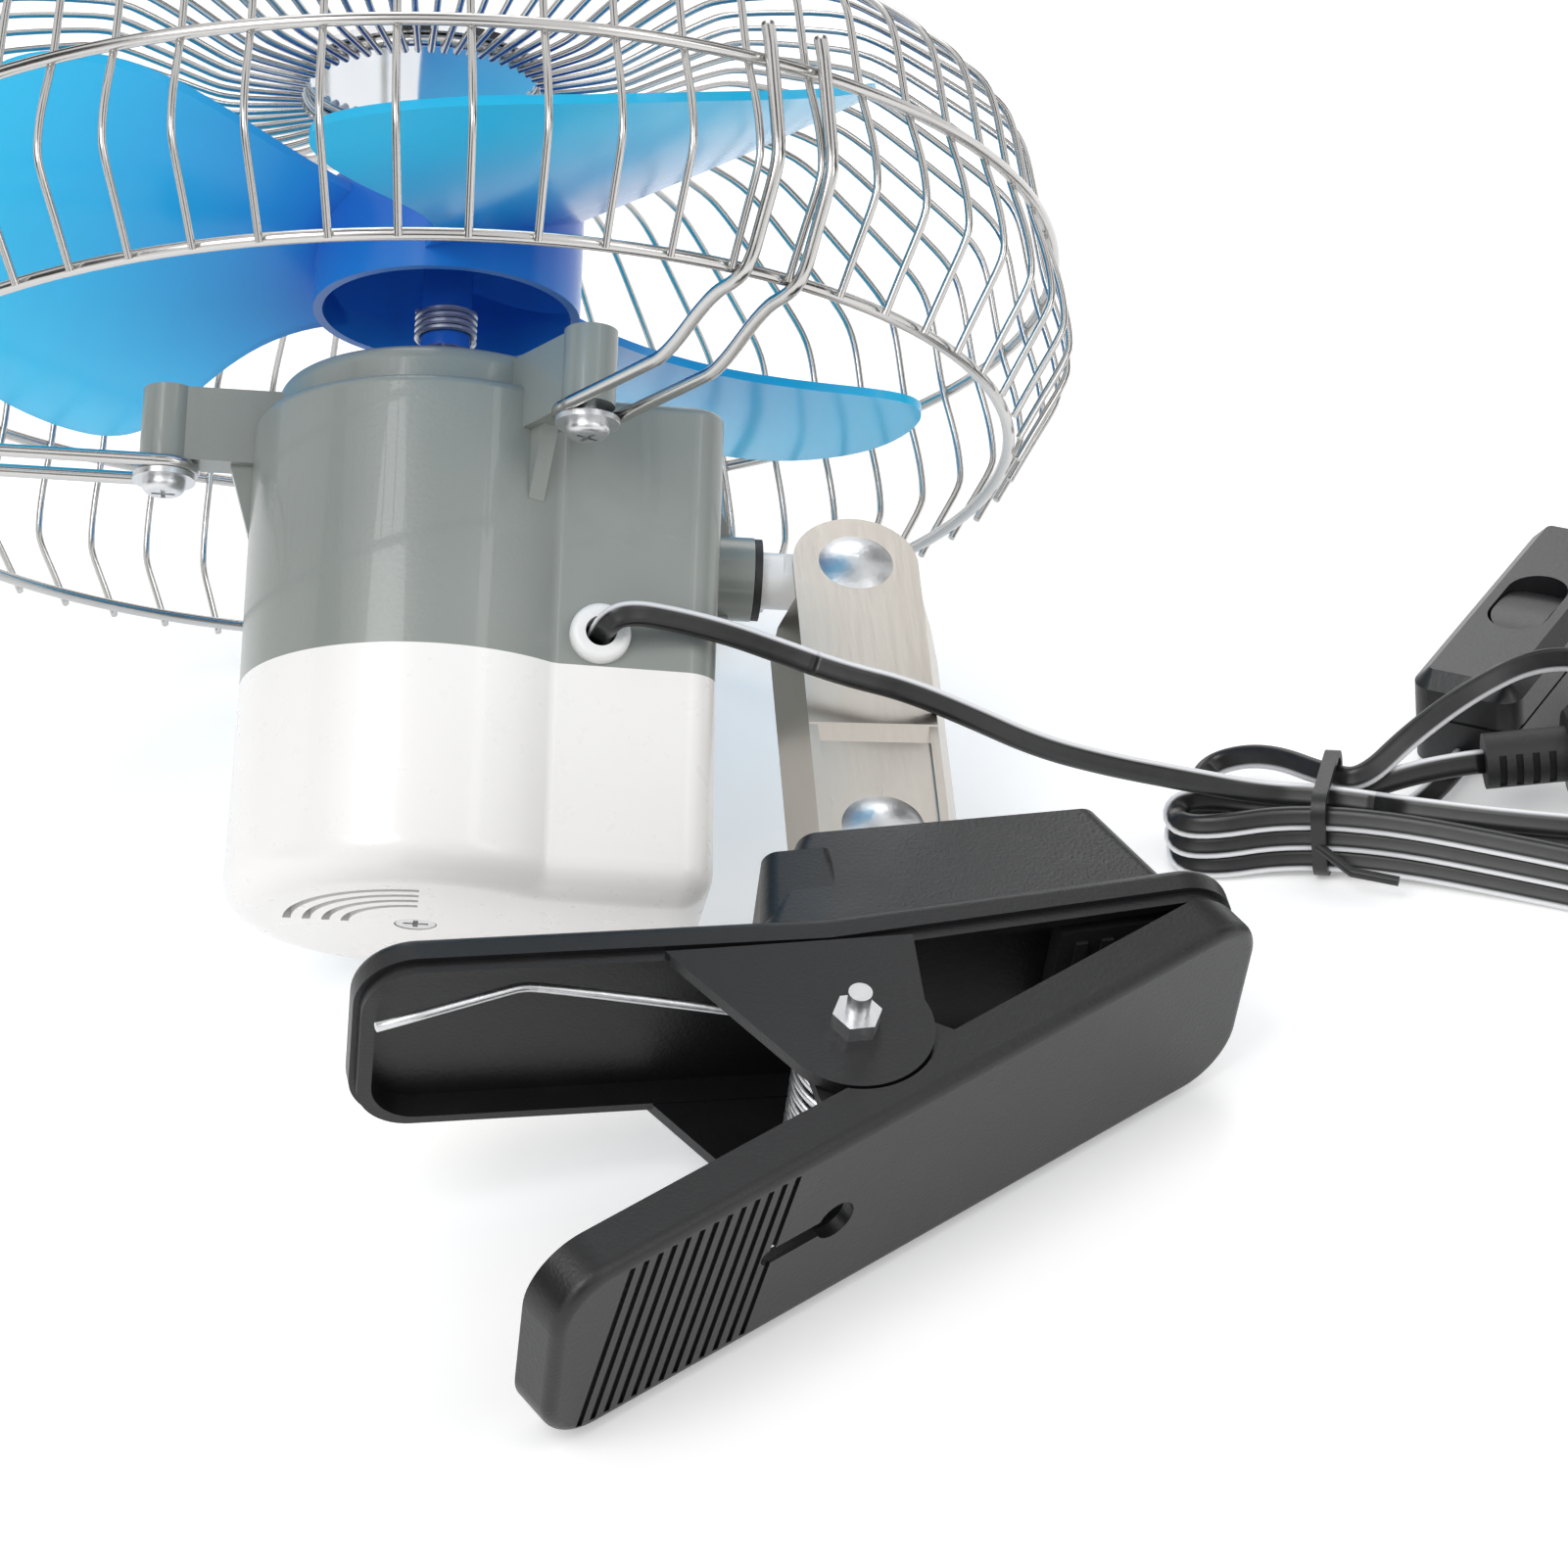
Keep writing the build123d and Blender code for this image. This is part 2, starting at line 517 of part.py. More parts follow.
# --------------------------------------------------------------- stand frame
def bracket():
    """U-channel of steel sheet: rounded tongue, splayed flanges, a joggle above the lower rivet"""
    front = -flat_p - seat_gap
    line = [(0, front), (-joggle_at, front), (-joggle_at - 2.5, front + joggle), (-bracket_len, front + joggle)]
    back = [(u, y - sheet) for u, y in line]
    top = bracket_half + 0.1
    profile = [(top, front)] + line[1:] + back[:0:-1] + [(top, front - sheet)]
    side = make_face(Polyline(*[(y, u) for u, y in profile], close=True))
    web = extrude(Plane.YZ * side, bracket_half, both=True)
    outline = Circle(bracket_half) + Pos(0, -bracket_len / 2) * Rectangle(2 * bracket_half, bracket_len)
    web = web & extrude(Plane.XZ * outline, 40, both=True)
    lean = flange_deep * tan(radians(flange_splay))
    solid = web
    for s in (1, -1):
        inner = s * (bracket_half - sheet)
        outer = s * bracket_half
        flange = make_face(Polyline((inner, front - sheet * 0.9), (outer, front - sheet * 0.9),
                                    (outer + s * lean, front + flange_deep), (inner + s * lean, front + flange_deep),
                                    close=True))
        bar = Pos(0, 0, -bracket_len) * extrude(flange, bracket_len - flange_start)
        trim = Pos(0, front + flange_deep, -flange_start) * Rot(45, 0, 0) * Box(60, 4.2, 4.2)
        solid += bar - trim
    for drop, r in ((0, rivet_r), (rivet_pitch, rivet_r)):
        solid -= Pos(0, 0, -drop) * Rot(90, 0, 0) * Cylinder(r, 40)
    return solid


def rivet(head_r, head_t, front, back, tail_r):
    """domed rivet along Y, its head on the -Y side"""
    ball_r = (head_r ** 2 + head_t ** 2) / (2 * head_t)
    head = Pos(0, front, 0) * Rot(90, 0, 0) * (
        Cylinder(head_r, head_t, align=(Align.CENTER, Align.CENTER, Align.MIN)) &
        Pos(0, 0, head_t - ball_r) * Sphere(ball_r))
    shank = Pos(0, (front + back) / 2, 0) * Rot(90, 0, 0) * Cylinder(rivet_r, back - front)
    tail = Pos(0, back, 0) * Rot(-90, 0, 0) * Cylinder(tail_r, 1.0, align=(Align.CENTER, Align.CENTER, Align.MIN))
    return head + shank + tail


def tilt_rivet():
    return rivet(rivet_head_r, rivet_head_t, -flat_p - seat_gap - sheet, flat_p + seat_gap, 3.2)


tongue_front = -flat_p - seat_gap + joggle
tongue_thick, tongue_half = 5.0, 6.6


def lower_rivet():
    r = rivet(lower_head_r, lower_head_t, tongue_front - sheet, tongue_front + tongue_thick, 3.4)
    return Pos(0, 0, -rivet_pitch) * r


# ---------------------------------------------------------------- clip frame
def jaw_slab(back, nose, top, low, bend=0.0):
    """rounded slab of a jaw between two heights, each end bent up by some degrees"""
    def strip(half_w, r):
        plan = Pos((nose - back) / 2, 0) * RectangleRounded(nose + back, 2 * half_w, r)
        return plan
    return strip


def bent_side(back, nose, top, low, bend):
    """side view of a jaw's wall in XZ"""
    rise_b, rise_n = back * tan(radians(bend)), nose * tan(radians(bend))
    return make_face(Polyline((-back, top + rise_b), (0, top), (nose, top + rise_n), (nose, low + rise_n),
                              (0, low), (-back, low + rise_b), close=True))


def tray(back, nose, top, low, bend, half, r):
    side = extrude(Plane.XZ * bent_side(back, nose, top, low, bend), half, both=True)
    plan = Pos((nose - back) / 2, 0) * RectangleRounded(nose + back, 2 * half, r)
    tall = extrude(plan, 200, both=True)
    return side & tall


def clip_upper_jaw():
    """upper jaw: a bent tray open below, cheeks round the bolt, and the socket of the bracket on top"""
    low = upper_top - upper_wall
    outer = tray(upper_back, upper_nose, upper_top, low, upper_bend, clip_half, corner_r)
    top_edges = outer.faces().filter_by(lambda f: f.normal_at().Z > 0.9).edges()
    try_round = 1.6
    outer = fillet(top_edges.filter_by(lambda e: abs(e.center().X) > 1.0), try_round)
    step_in = 0.8
    outer -= outer_step(upper_back, upper_nose, low, upper_bend, step_in)
    inner = tray(upper_back - clip_skin - step_in, upper_nose - clip_skin - step_in, upper_top - clip_skin,
                 low - 5, upper_bend, clip_half - clip_skin - step_in * 0.3, corner_r - clip_skin)
    solid = outer + socket() - inner
    cheek = Circle(cheek_r) + make_face(Polyline((-8.6, -5.0), (8.9, -4.4), (10.6, low + 1), (-21.0, low + 2),
                                                 close=True))
    plate = extrude(Plane.XZ * cheek, clip_skin)
    for y in (clip_half, -clip_half + clip_skin):
        solid += Pos(0, y, 0) * plate
    solid -= Rot(90, 0, 0) * Cylinder(bolt_r, 60)
    return solid


def outer_step(back, nose, low, bend, step_in):
    """the lower third of the wall is set in by a small step"""
    high = low + 1.7
    wide = tray(back + 1, nose + 1, high, low - 1, bend, clip_half + 1, corner_r)
    narrow = tray(back - step_in, nose - step_in, high + 1, low - 2, bend, clip_half - step_in, corner_r - step_in)
    return wide - narrow


socket_base, socket_top = (-9.0, 49.0), (1.5, 42.0)
socket_high = 19.2
socket_base_half, socket_top_half = 12.8, 9.5


def stand_in_clip():
    """where the stand frame lies, seen from the clip frame"""
    back = Rot(0, clip_turn, 0)
    return back * Pos(-pin_s, 0, -pin_u)


def socket():
    """tapered box on the upper jaw, with a pocket for the bracket and a riveted tongue inside it"""
    base_z = upper_top - 1.0
    low = Pos(sum(socket_base) / 2, 0, base_z) * RectangleRounded(socket_base[1] - socket_base[0],
                                                                  2 * socket_base_half, 2.5)
    high = Pos(sum(socket_top) / 2, 0, upper_top + socket_high) * RectangleRounded(
        socket_top[1] - socket_top[0], 2 * socket_top_half, 2.5)
    box = loft([low.face(), high.face()], ruled=True)
    ledge_low = Pos(-1.0, 0, base_z) * RectangleRounded(14.0, 2 * socket_base_half - 1, 2.5)
    ledge_high = Pos(0.8, 0, upper_top + socket_high - 3.6) * RectangleRounded(9.6, 2 * socket_top_half + 2, 2.0)
    box += loft([ledge_low.face(), ledge_high.face()], ruled=True)
    hollow_low = Pos(sum(socket_base) / 2 + 2, 0, base_z - 2) * RectangleRounded(
        socket_base[1] - socket_base[0] - 8, 2 * socket_base_half - 4, 1.5)
    hollow_high = Pos(sum(socket_top) / 2 + 1, 0, upper_top + socket_high * 0.6) * RectangleRounded(
        socket_top[1] - socket_top[0] - 4, 2 * socket_top_half - 2, 1.5)
    box -= loft([hollow_low.face(), hollow_high.face()], ruled=True)
    place = stand_in_clip()
    gap = 0.3
    front = -flat_p - seat_gap - sheet - gap
    lean = flange_deep * tan(radians(flange_splay))
    pocket_half = bracket_half + lean + gap + 0.6
    pocket_front = front - lower_head_t * 0.2
    pocket_back = -flat_p - seat_gap + flange_deep + gap
    pocket = Pos(0, (pocket_front + pocket_back) / 2, -bracket_len - gap + 20) * Box(
        2 * pocket_half, pocket_back - pocket_front, 40)
    box -= place * pocket
    tongue = Pos(0, tongue_front + tongue_thick / 2, 0) * (
        Pos(0, 0, -rivet_pitch) * Rot(90, 0, 0) * Cylinder(tongue_half, tongue_thick)
        + Pos(0, 0, -(rivet_pitch + bracket_len + 2) / 2) * Box(2 * tongue_half, tongue_thick,
                                                                 bracket_len + 2 - rivet_pitch))
    tongue -= Pos(0, 0, -rivet_pitch) * Rot(90, 0, 0) * Cylinder(rivet_r, 40)
    return box + place * tongue


def clip_lower_jaw():
    """lower jaw in its own closed pose: a tray open upwards, inner cheeks, grip grooves and a keyhole"""
    low, high = -lower_drop, -lower_drop + lower_wall
    outer = tray(lower_back, lower_nose, high, low, 0.0, clip_half, corner_r)
    outer = fillet(outer.faces().sort_by(Axis.Z)[0].edges(), 1.6)
    inner = tray(lower_back - clip_skin, lower_nose - clip_skin, high + 5, low + clip_skin, 0.0,
                 clip_half - clip_skin, corner_r - clip_skin)
    solid = outer - inner
    cheek = Circle(lower_cheek_r) + make_face(Polyline((-7.4, 0.5), (7.4, 0.5), (15.0, low + 1), (-13.0, low + 1),
                                                       close=True))
    plate = extrude(Plane.XZ * cheek, clip_skin)
    y = clip_half - clip_skin - cheek_gap
    solid += Pos(0, y, 0) * plate
    solid += Pos(0, -y + clip_skin, 0) * plate
    swept = Rot(90, 0, 0) * (Cylinder(cheek_r + cheek_slot, 80) - Cylinder(cheek_r + cheek_slot + 1, 2 * (y + 0.05)))
    solid -= swept
    solid -= Rot(90, 0, 0) * Cylinder(bolt_r + seat_gap, 60)
    for i in range(groove_count):
        x = -lower_back + 8.0 + groove_pitch * i
        groove = Pos(x, 0, low) * Rot(0, 0, 12) * Box(groove_w, 2 * clip_half - 3.0, 2 * groove_deep)
        solid -= groove
    mouth = Pos(45, 0, upper_top - upper_wall - 0.1 + 45 * tan(radians(upper_bend))) * Rot(0, -upper_bend, 0) * Box(
        60, 60, 20, align=(Align.CENTER, Align.CENTER, Align.MIN))
    solid -= lower_place().inverse() * mouth
    hole = Cylinder(2.9, 12) + Pos(-5.2, 0, 0) * Box(10.4, 2.6, 12) + Pos(-10.4, 0, 0) * Cylinder(1.3, 12)
    solid -= Pos(-12.5, 0.0, low) * hole
    return solid


def lower_place():
    """lower jaw's rest place in the clip frame"""
    return Rot(0, -jaw_angle, 0)


def jaw_pads():
    """rubber pads in the mouth of each jaw"""
    low = upper_top - upper_wall
    x = 41.0
    rise = x * tan(radians(upper_bend))
    deep = upper_wall - clip_skin - 0.6
    pad = Box(20, 2 * (clip_half - clip_skin) - 5.0, deep)
    top = Pos(x, 0, upper_top - clip_skin + rise - deep / 2 - 0.12) * Rot(0, -upper_bend, 0) * pad
    for i in range(5):
        for j in (-1, 0, 1):
            top += Pos(x - 7 + 3.5 * i, 6.5 * j, low + rise + 0.4 + (3.5 * i - 7) * 0.056) * Box(1.6, 5.0, 0.8)
    deep_low = lower_wall - clip_skin - 1.0
    base = Pos(43.0, 0, -lower_drop + clip_skin + deep_low / 2) * Box(18, 2 * (clip_half - clip_skin) - 5.0, deep_low)
    return top, lower_place() * base


def clip_bolt():
    """machine screw through the cheeks, its head on the table side"""
    shank = Pos(0, 0, 0) * Rot(90, 0, 0) * Cylinder(bolt_r, 2 * clip_half + nut_thick + 3.6, align=(
        Align.CENTER, Align.CENTER, Align.MIN))
    shank = Pos(0, clip_half, 0) * shank
    head = Pos(0, clip_half, 0) * Rot(-90, 0, 0) * Cylinder(2.75, 1.7, align=(Align.CENTER, Align.CENTER, Align.MIN))
    head = fillet(head.faces().sort_by(Axis.Y)[-1].edges(), 1.0)
    return shank + head


def clip_nut():
    hexagon = RegularPolygon(nut_flats / 2, 6, major_radius=False)
    nut = Pos(0, -clip_half, 0) * Rot(90, 0, 0) * (extrude(hexagon, nut_thick) - Cylinder(bolt_r, 20))
    return nut


def clip_spring():
    """torsion spring round the bolt, its two legs bearing on the floors of the handles"""
    pitch = spring_wire + 0.5
    wide = pitch * spring_turns
    path = Helix(pitch, wide, spring_r)
    coil = sweep(Plane(path @ 0, z_dir=path % 0) * Circle(spring_wire / 2), path=path, is_frenet=True)
    place = Pos(0, wide / 2, 0) * Rot(90, 0, 0) * Rot(0, 0, 90)
    start, end = [(place * Pos(*(path @ t))).position for t in (0, 1)]
    r = spring_wire / 2
    rise = tan(radians(upper_bend))
    top = upper_top - clip_skin - r - 0.1
    upper = [start, Vector(-26.0, start.Y, top + 26 * rise), Vector(-40.0, start.Y, top - 1.5 + 40 * rise)]
    floor = r + 0.1 + clip_skin - lower_drop
    place_low = lower_place()
    lower = [end] + [(place_low * Pos(x, end.Y, z)).position for x, z in ((-26.0, floor), (-40.0, floor + 1.5))]
    solid = place * coil
    for line in (upper, lower):
        for a, b in zip(line, line[1:]):
            solid += rod(a, b, r)
        solid += Pos(*line[1]) * Sphere(r)
    return solid


# ------------------------------------------------------------- placing frames
def head_to_stand():
    return Rot(0, lean, 0) * Pos(-tilt_x, 0, 0) * Rot(swing, 0, 0)


def clip_to_stand():
    return Pos(pin_s, 0, pin_u) * Rot(0, -clip_turn, 0)


def resting_plane():
    """plane of the table in the stand frame, under the rear ring and the lower jaw's far edge"""
    jaw = clip_to_stand() * lower_place()
    inset = corner_r * (1 - sin(radians(45)))
    back = (jaw * Pos(-lower_back + inset, clip_half, -lower_drop + 1.6)).position
    nose = (jaw * Pos(lower_nose - inset, clip_half, -lower_drop + 1.6)).position
    guard = head_to_stand() * guard_place()
    centre = guard.position
    axis = (guard * Pos(0, 0, 1)).position - centre
    up = Vector(0, -1, 0)
    for _ in range(60):
        across = (up - axis * up.dot(axis)).normalized()
        touching = [centre + axis * z - across * r - up * (d / 2) for r, z, d in (
            (rear_ring_r, 0, ring_d), (bulge_r, bulge_up, wire_d))]
        low = min(touching, key=lambda q: q.dot(up))
        normal = (nose - back).cross(low - back).normalized()
        up = normal if normal.Y < 0 else normal * -1
    return back, up


def table_frame():
    """location that carries the stand frame to the finished frame, before it is centred"""
    point, up = resting_plane()
    side = Vector(1, 0, 0)
    side = (side - up * side.dot(up)).normalized()
    plane = Plane(point, x_dir=side, z_dir=up)
    return plane.location.inverse()


def stand_group():
    """everything but the cord, in the stand frame, by node"""
    head, clip = head_to_stand(), clip_to_stand()
    rings = guard_rings()
    upper_pad, lower_pad = jaw_pads()
    bearings = motor_bearings()
    nodes = {
        "guard_rear_ring": head * rings[0], "guard_middle_ring": head * rings[1],
        "guard_centre_ring": head * rings[2], "guard_badge": head * guard_badge(),
        "guard_side_wires": [head * w for w in guard_wires(False)],
        "guard_front_wires": [head * w for w in guard_wires(True)],
        "stay_screws": [head * w for w in stay_screws()],
        "housing_front": head * housing_front(), "rear_cover": head * rear_cover(),
        "rear_cover_screw": head * cover_screw(), "cord_grommet": head * cord_grommet(),
        "motor_can": head * motor_can(), "motor_bearings": [head * b for b in bearings],
        "motor_shaft": head * motor_shaft(), "worm": head * worm(), "crank_wheel": head * crank_wheel(),
        "fan_impeller": head * fan_impeller(), "hub_clip": head * hub_clip(),
        "pivot_shaft": head * pivot_shaft(), "pivot_washer": head * pivot_washer(),
        "drive_link": head * drive_link(),
        "bracket": bracket(), "tilt_rivet": tilt_rivet(), "lower_rivet": lower_rivet(),
        "clip_upper_jaw": clip * clip_upper_jaw(), "clip_lower_jaw": clip * lower_place() * clip_lower_jaw(),
        "upper_pad": clip * upper_pad, "lower_pad": clip * lower_pad,
        "clip_bolt": clip * clip_bolt(), "clip_nut": clip * clip_nut(), "clip_spring": clip * clip_spring(),
    }
    for stay, name in zip(guard_stays(), ("right", "left", "front")):
        nodes["guard_stay_" + name] = head * stay
    return nodes


def shapes_of(item):
    return item if isinstance(item, list) else [item]


def final_place(nodes):
    """carries the stand frame to the finished frame: table at z = 0, centred on the object's box"""
    flat = table_frame()
    boxes = [(flat * s).bounding_box() for item in nodes.values() for s in shapes_of(item)]
    low = [min(getattr(b.min, k) for b in boxes) for k in "XYZ"]
    high = [max(getattr(b.max, k) for b in boxes) for k in "XYZ"]
    return Pos(-(low[0] + high[0]) / 2, -(low[1] + high[1]) / 2, -low[2]) * flat


def level(i):
    """height of a strand's middle, counted from the table"""
    return cord_d / 2 + 0.02 + i * (cord_d + cord_gap)


def bundle(u, v, height):
    """point of the bundle: u along it from the tie, v across it; the tie itself lies under the strands"""
    turn = radians(left_turn if u < 0 else right_turn)
    middle = radians((left_turn + right_turn) / 2)
    if u:
        x, y = u * cos(turn) - v * sin(turn), u * sin(turn) + v * cos(turn)
    else:
        x, y = -v * sin(middle), v * cos(middle)
        height += tie_lift
    return Vector(tie_x + x, tie_y + y, height)


def route_radii(points):
    """arc radius at each corner of a route, as large as its two runs allow"""
    radii = []
    for a, b, c in zip(points, points[1:], points[2:]):
        turn = radians((b - a).get_angle(c - b))
        radii.append(0.45 * min((b - a).length, (c - b).length) / tan(turn / 2))
    return radii


def cord(points, name, d=cord_d):
    """round cord along a route of straight runs and tangent arcs"""
    radii = route_radii(points)
    path = FilletPolyline(*points, radius=radii)
    tube = sweep(Plane(path @ 0, z_dir=path % 0) * Circle(d / 2), path=path)
    print(name, "length %.0f, least radius %.1f, volume over section and length %.4f" % (
        path.length, min(radii), tube.volume / (pi * d ** 2 / 4 * path.length)))
    return tube, path


def least_gap(path, d=cord_d, step=1.5):
    """least gap of a cord to itself, on points along it"""
    count = int(path.length / step)
    points = [path @ (i / count) for i in range(count + 1)]
    skip = int(4 * d / step)
    return min((points[i] - points[j]).length - d for i in range(count + 1) for j in range(i + skip, count + 1))


def hank_route():
    """loops that lie on each other, drawn in at the tie, then a last run out to the switch"""
    near, far = -lane, 0.0
    points = [bundle(7.0, far, level(hank_loops - 1) + tie_lift * (1 - 14.0 / right_reach))]
    for i in reversed(range(hank_loops)):
        high = level(i)
        first = i == hank_loops - 1
        out = lane if i == 0 else 0.0
        points += [bundle(right_reach * 0.5, far if first else far + 2.6, high), bundle(right_reach, right_half, high),
                   bundle(right_reach, -right_half - lane, high), bundle(right_reach * 0.5, near - 2.6, high),
                   bundle(0, near, high), bundle(-left_reach, near - left_half * 0.6, high),
                   bundle(-left_reach, far + out + left_half * 0.6, high), bundle(0, far + out, level(max(i - 1, 0)))]
    points += [bundle(5.5, far + lane + 4.0, level(0)), switch_end(-1, 13.0), switch_end(-1, 0.0)]
    return points


def switch_frame():
    return Pos(switch_x, switch_y, 0) * Rot(0, 0, switch_turn)


def switch_end(side, away):
    """point on the cord's line at one end of the switch"""
    height = level(0) + 1.2
    return (switch_frame() * Pos(side * (switch_len / 2 + away), 0, height)).position


def plug_frame():
    return Pos(plug_x, plug_y, plug_r + 0.05) * Rot(0, 0, plug_turn) * Rot(0, 90, 0)


tail_points = [(127.0, 5.2, 13.5), (137.0, 8.5, 17.8), (147.0, 13.5, 18.2), (158.0, 18.0, 13.0), (172.0, 20.5, 6.0),
               (190.0, 22.0, 2.6), (222.0, 26.0, 2.6), (226.0, 52.0, 2.6), (205.0, 72.0, 2.6)]


def tail_route():
    """from the plug through the tie, one loop, over the corner of the switch and round to its far end"""
    plug = plug_frame()
    points = [(plug * Pos(0, 0, -t)).position for t in (0, 8.0)]
    side = lane + 0.8
    points += [bundle(0, side, level(1)), bundle(-9.0, lane + 4.6, level(1)),
               bundle(-left_reach + 2.0, 10.5, level(1)), bundle(-left_reach + 4.0, 16.8, level(1)),
               bundle(-9.0, 13.0, level(2) + 0.4), bundle(0, side, level(2) + 0.4),
               bundle(4.5, side - 0.6, level(2) + 2.4)]
    points += [Vector(*p) for p in tail_points]
    return points + [switch_end(1, 16.0), switch_end(1, 0.0)]


def lead_points(place):
    """the lead from the grommet's mouth to the start of the hank"""
    plane = place * head_to_stand() * Pos(0, 0, 0)
    mouth = grommet_plane()
    start = (plane * Pos(*(mouth.origin + mouth.z_dir * -wall))).position
    out = (plane * Pos(*(mouth.origin + mouth.z_dir * 4.6))).position
    end = hank_route()[0]
    before = bundle(-9.0, 1.0, level(hank_loops - 1) + 1.4)
    return [start, out] + [Vector(*p) for p in lead_route] + [before, bundle(0, 0, level(hank_loops - 1)), end]


def switch_body():
    """inline switch case: chamfered long box, open at the rocker, with a cord hole at each end"""
    plan = RectangleRounded(switch_len, switch_wide, 3.0)
    case = extrude(plan, switch_high)
    case = chamfer(case.faces().sort_by(Axis.Z)[-1].edges(), 2.2)
    case = chamfer(case.faces().sort_by(Axis.Z)[0].edges(), 0.8)
    case -= Pos(0, 0, switch_high - 6.0) * extrude(SlotOverall(rocker_len + 0.6, rocker_wide + 0.6), 10.0)
    groove = Pos(0, 0, switch_high * 0.55) * (Box(switch_len + 1, switch_wide + 1, 0.5)
                                              - Box(switch_len - 0.6, switch_wide - 0.6, 1.0))
    return switch_frame() * (case - groove)


rocker_len, rocker_wide, rocker_high, rocker_tip = 15.0, 8.4, 5.0, 8.0


def switch_rocker():
    """oval rocker whose top is hollowed, tipped to one side in the case"""
    body = extrude(SlotOverall(rocker_len, rocker_wide), rocker_high)
    body &= Pos(0, 0, -rocker_len) * Rot(90, 0, 0) * Cylinder(rocker_len + rocker_high * 0.82, 60)
    pin = Rot(90, 0, 0) * Cylinder(1.2, rocker_wide * 0.6)
    return switch_frame() * Pos(0, 0, switch_high - 3.9) * Rot(0, rocker_tip, 0) * (Pos(0, 0, -0.6) * body + pin)


def plug_body():
    """vehicle-socket plug: dome, barrel, nose, with a bore for the spring contact and two side windows"""
    nose_r, neck = plug_r - 1.2, relief_len
    line = Polyline((0, neck), (plug_neck_r - 1.6, neck), (plug_neck_r, neck + 2.0), (plug_r, neck + 13.0),
                    (plug_r, neck + plug_len * 0.42), (nose_r, neck + plug_len * 0.44),
                    (nose_r, neck + plug_len * 0.86), (5.4, neck + plug_len), (0, neck + plug_len), close=True)
    solid = revolve(Plane.XZ * make_face(line), Axis.Z)
    far = neck + plug_len
    solid -= Pos(0, 0, far - 12.0) * Cylinder(tip_r + 0.05, 20, align=(Align.CENTER, Align.CENTER, Align.MIN))
    for side in (1, -1):
        solid -= Pos(0, side * nose_r, neck + plug_len * 0.62) * Box(3.4, 4.0, 14.0)
    return plug_frame() * solid


tip_r, tip_travel = 2.6, 3.0


def plug_tip():
    """sprung centre contact"""
    far = relief_len + plug_len
    pin = Pos(0, 0, far - 8.0) * Cylinder(tip_r, 11.0, align=(Align.CENTER, Align.CENTER, Align.MIN))
    pin = fillet(pin.faces().sort_by(Axis.Z)[-1].edges(), 2.0)
    return plug_frame() * pin


def plug_side_contacts():
    """bowed side springs seated in their windows"""
    nose_r = plug_r - 1.2
    z = relief_len + plug_len * 0.62
    out = []
    for side in (1, -1):
        bow = extrude(Plane.YZ * make_face([
            ThreePointArc((0, -6.6), (contact_bow, 0), (0, 6.6)), Line((0, 6.6), (-1.9, 6.6)),
            Line((-1.9, 6.6), (-1.9, -6.6)), Line((-1.9, -6.6), (0, -6.6))]), 1.5, both=True)
        bow = bow if side > 0 else bow.rotate(Axis.Z, 180)
        out.append(plug_frame() * Pos(0, side * nose_r, z) * bow)
    return out


def plug_relief():
    """ribbed strain relief behind the plug's dome"""
    solid = Cylinder(relief_r, relief_len, align=(Align.CENTER, Align.CENTER, Align.MIN))
    for i in range(4):
        for side in (1, -1):
            solid -= Pos(0, side * relief_r, 2.2 + 2.3 * i) * Box(5.0, 2.2, 1.0)
    return plug_frame() * solid


def cord_tie():
    """wire tie: a flat loop round the strands and its twisted tail"""
    middle = (left_turn + right_turn) / 2
    low, t, r = 0.04 + tie_thick, tie_thick, cord_d / 2 + tie_slack
    high = level(hank_loops - 1) + tie_lift + 0.4 + r
    left, right = -lane - r - 0.9, lane + 0.8 + r + 0.7
    inner = Pos((left + right) / 2, (low + high) / 2) * RectangleRounded(right - left, high - low, r - 0.1)
    outer = Pos((left + right) / 2, (low + high) / 2) * RectangleRounded(
        right - left + 2 * t, high - low + 2 * t, r - 0.1 + t)
    band = extrude(Plane.YZ * (outer - inner), tie_wide / 2, both=True)
    knot = [Vector(0, left - t * 0.6, 6.0), Vector(5.0, left - 4.0, 4.4), Vector(11.5, left - 4.4, 3.6)]
    for a, b in zip(knot, knot[1:]):
        band += rod(a, b, t * 0.7)
    band += Pos(*knot[1]) * Sphere(t * 0.7)
    return Pos(tie_x, tie_y, 0) * Rot(0, 0, middle) * band


def cord_group(place):
    lead = lead_points(place)
    lead_tube, lead_path = cord(lead, "lead")
    i = lead_split + 2
    meet = (lead[i] + lead[i + 1]) * 0.5
    cut = Plane(meet, z_dir=lead[i + 1] - lead[i])
    hank, hank_path = cord(hank_route(), "hank")
    tail, tail_path = cord(tail_route(), "tail")
    print("least gap in the hank %.2f, in the tail %.2f" % (least_gap(hank_path), least_gap(tail_path)))
    return {
        "cord_lead_head": split(lead_tube, bisect_by=cut, keep=Keep.BOTTOM),
        "cord_lead_stand": split(lead_tube, bisect_by=cut, keep=Keep.TOP),
        "cord_hank": hank, "cord_tail": tail, "cord_tie": cord_tie(),
        "switch_body": switch_body(), "switch_rocker": switch_rocker(),
        "plug_body": plug_body(), "plug_relief": plug_relief(), "plug_tip": plug_tip(),
        "plug_side_contacts": plug_side_contacts(),
    }


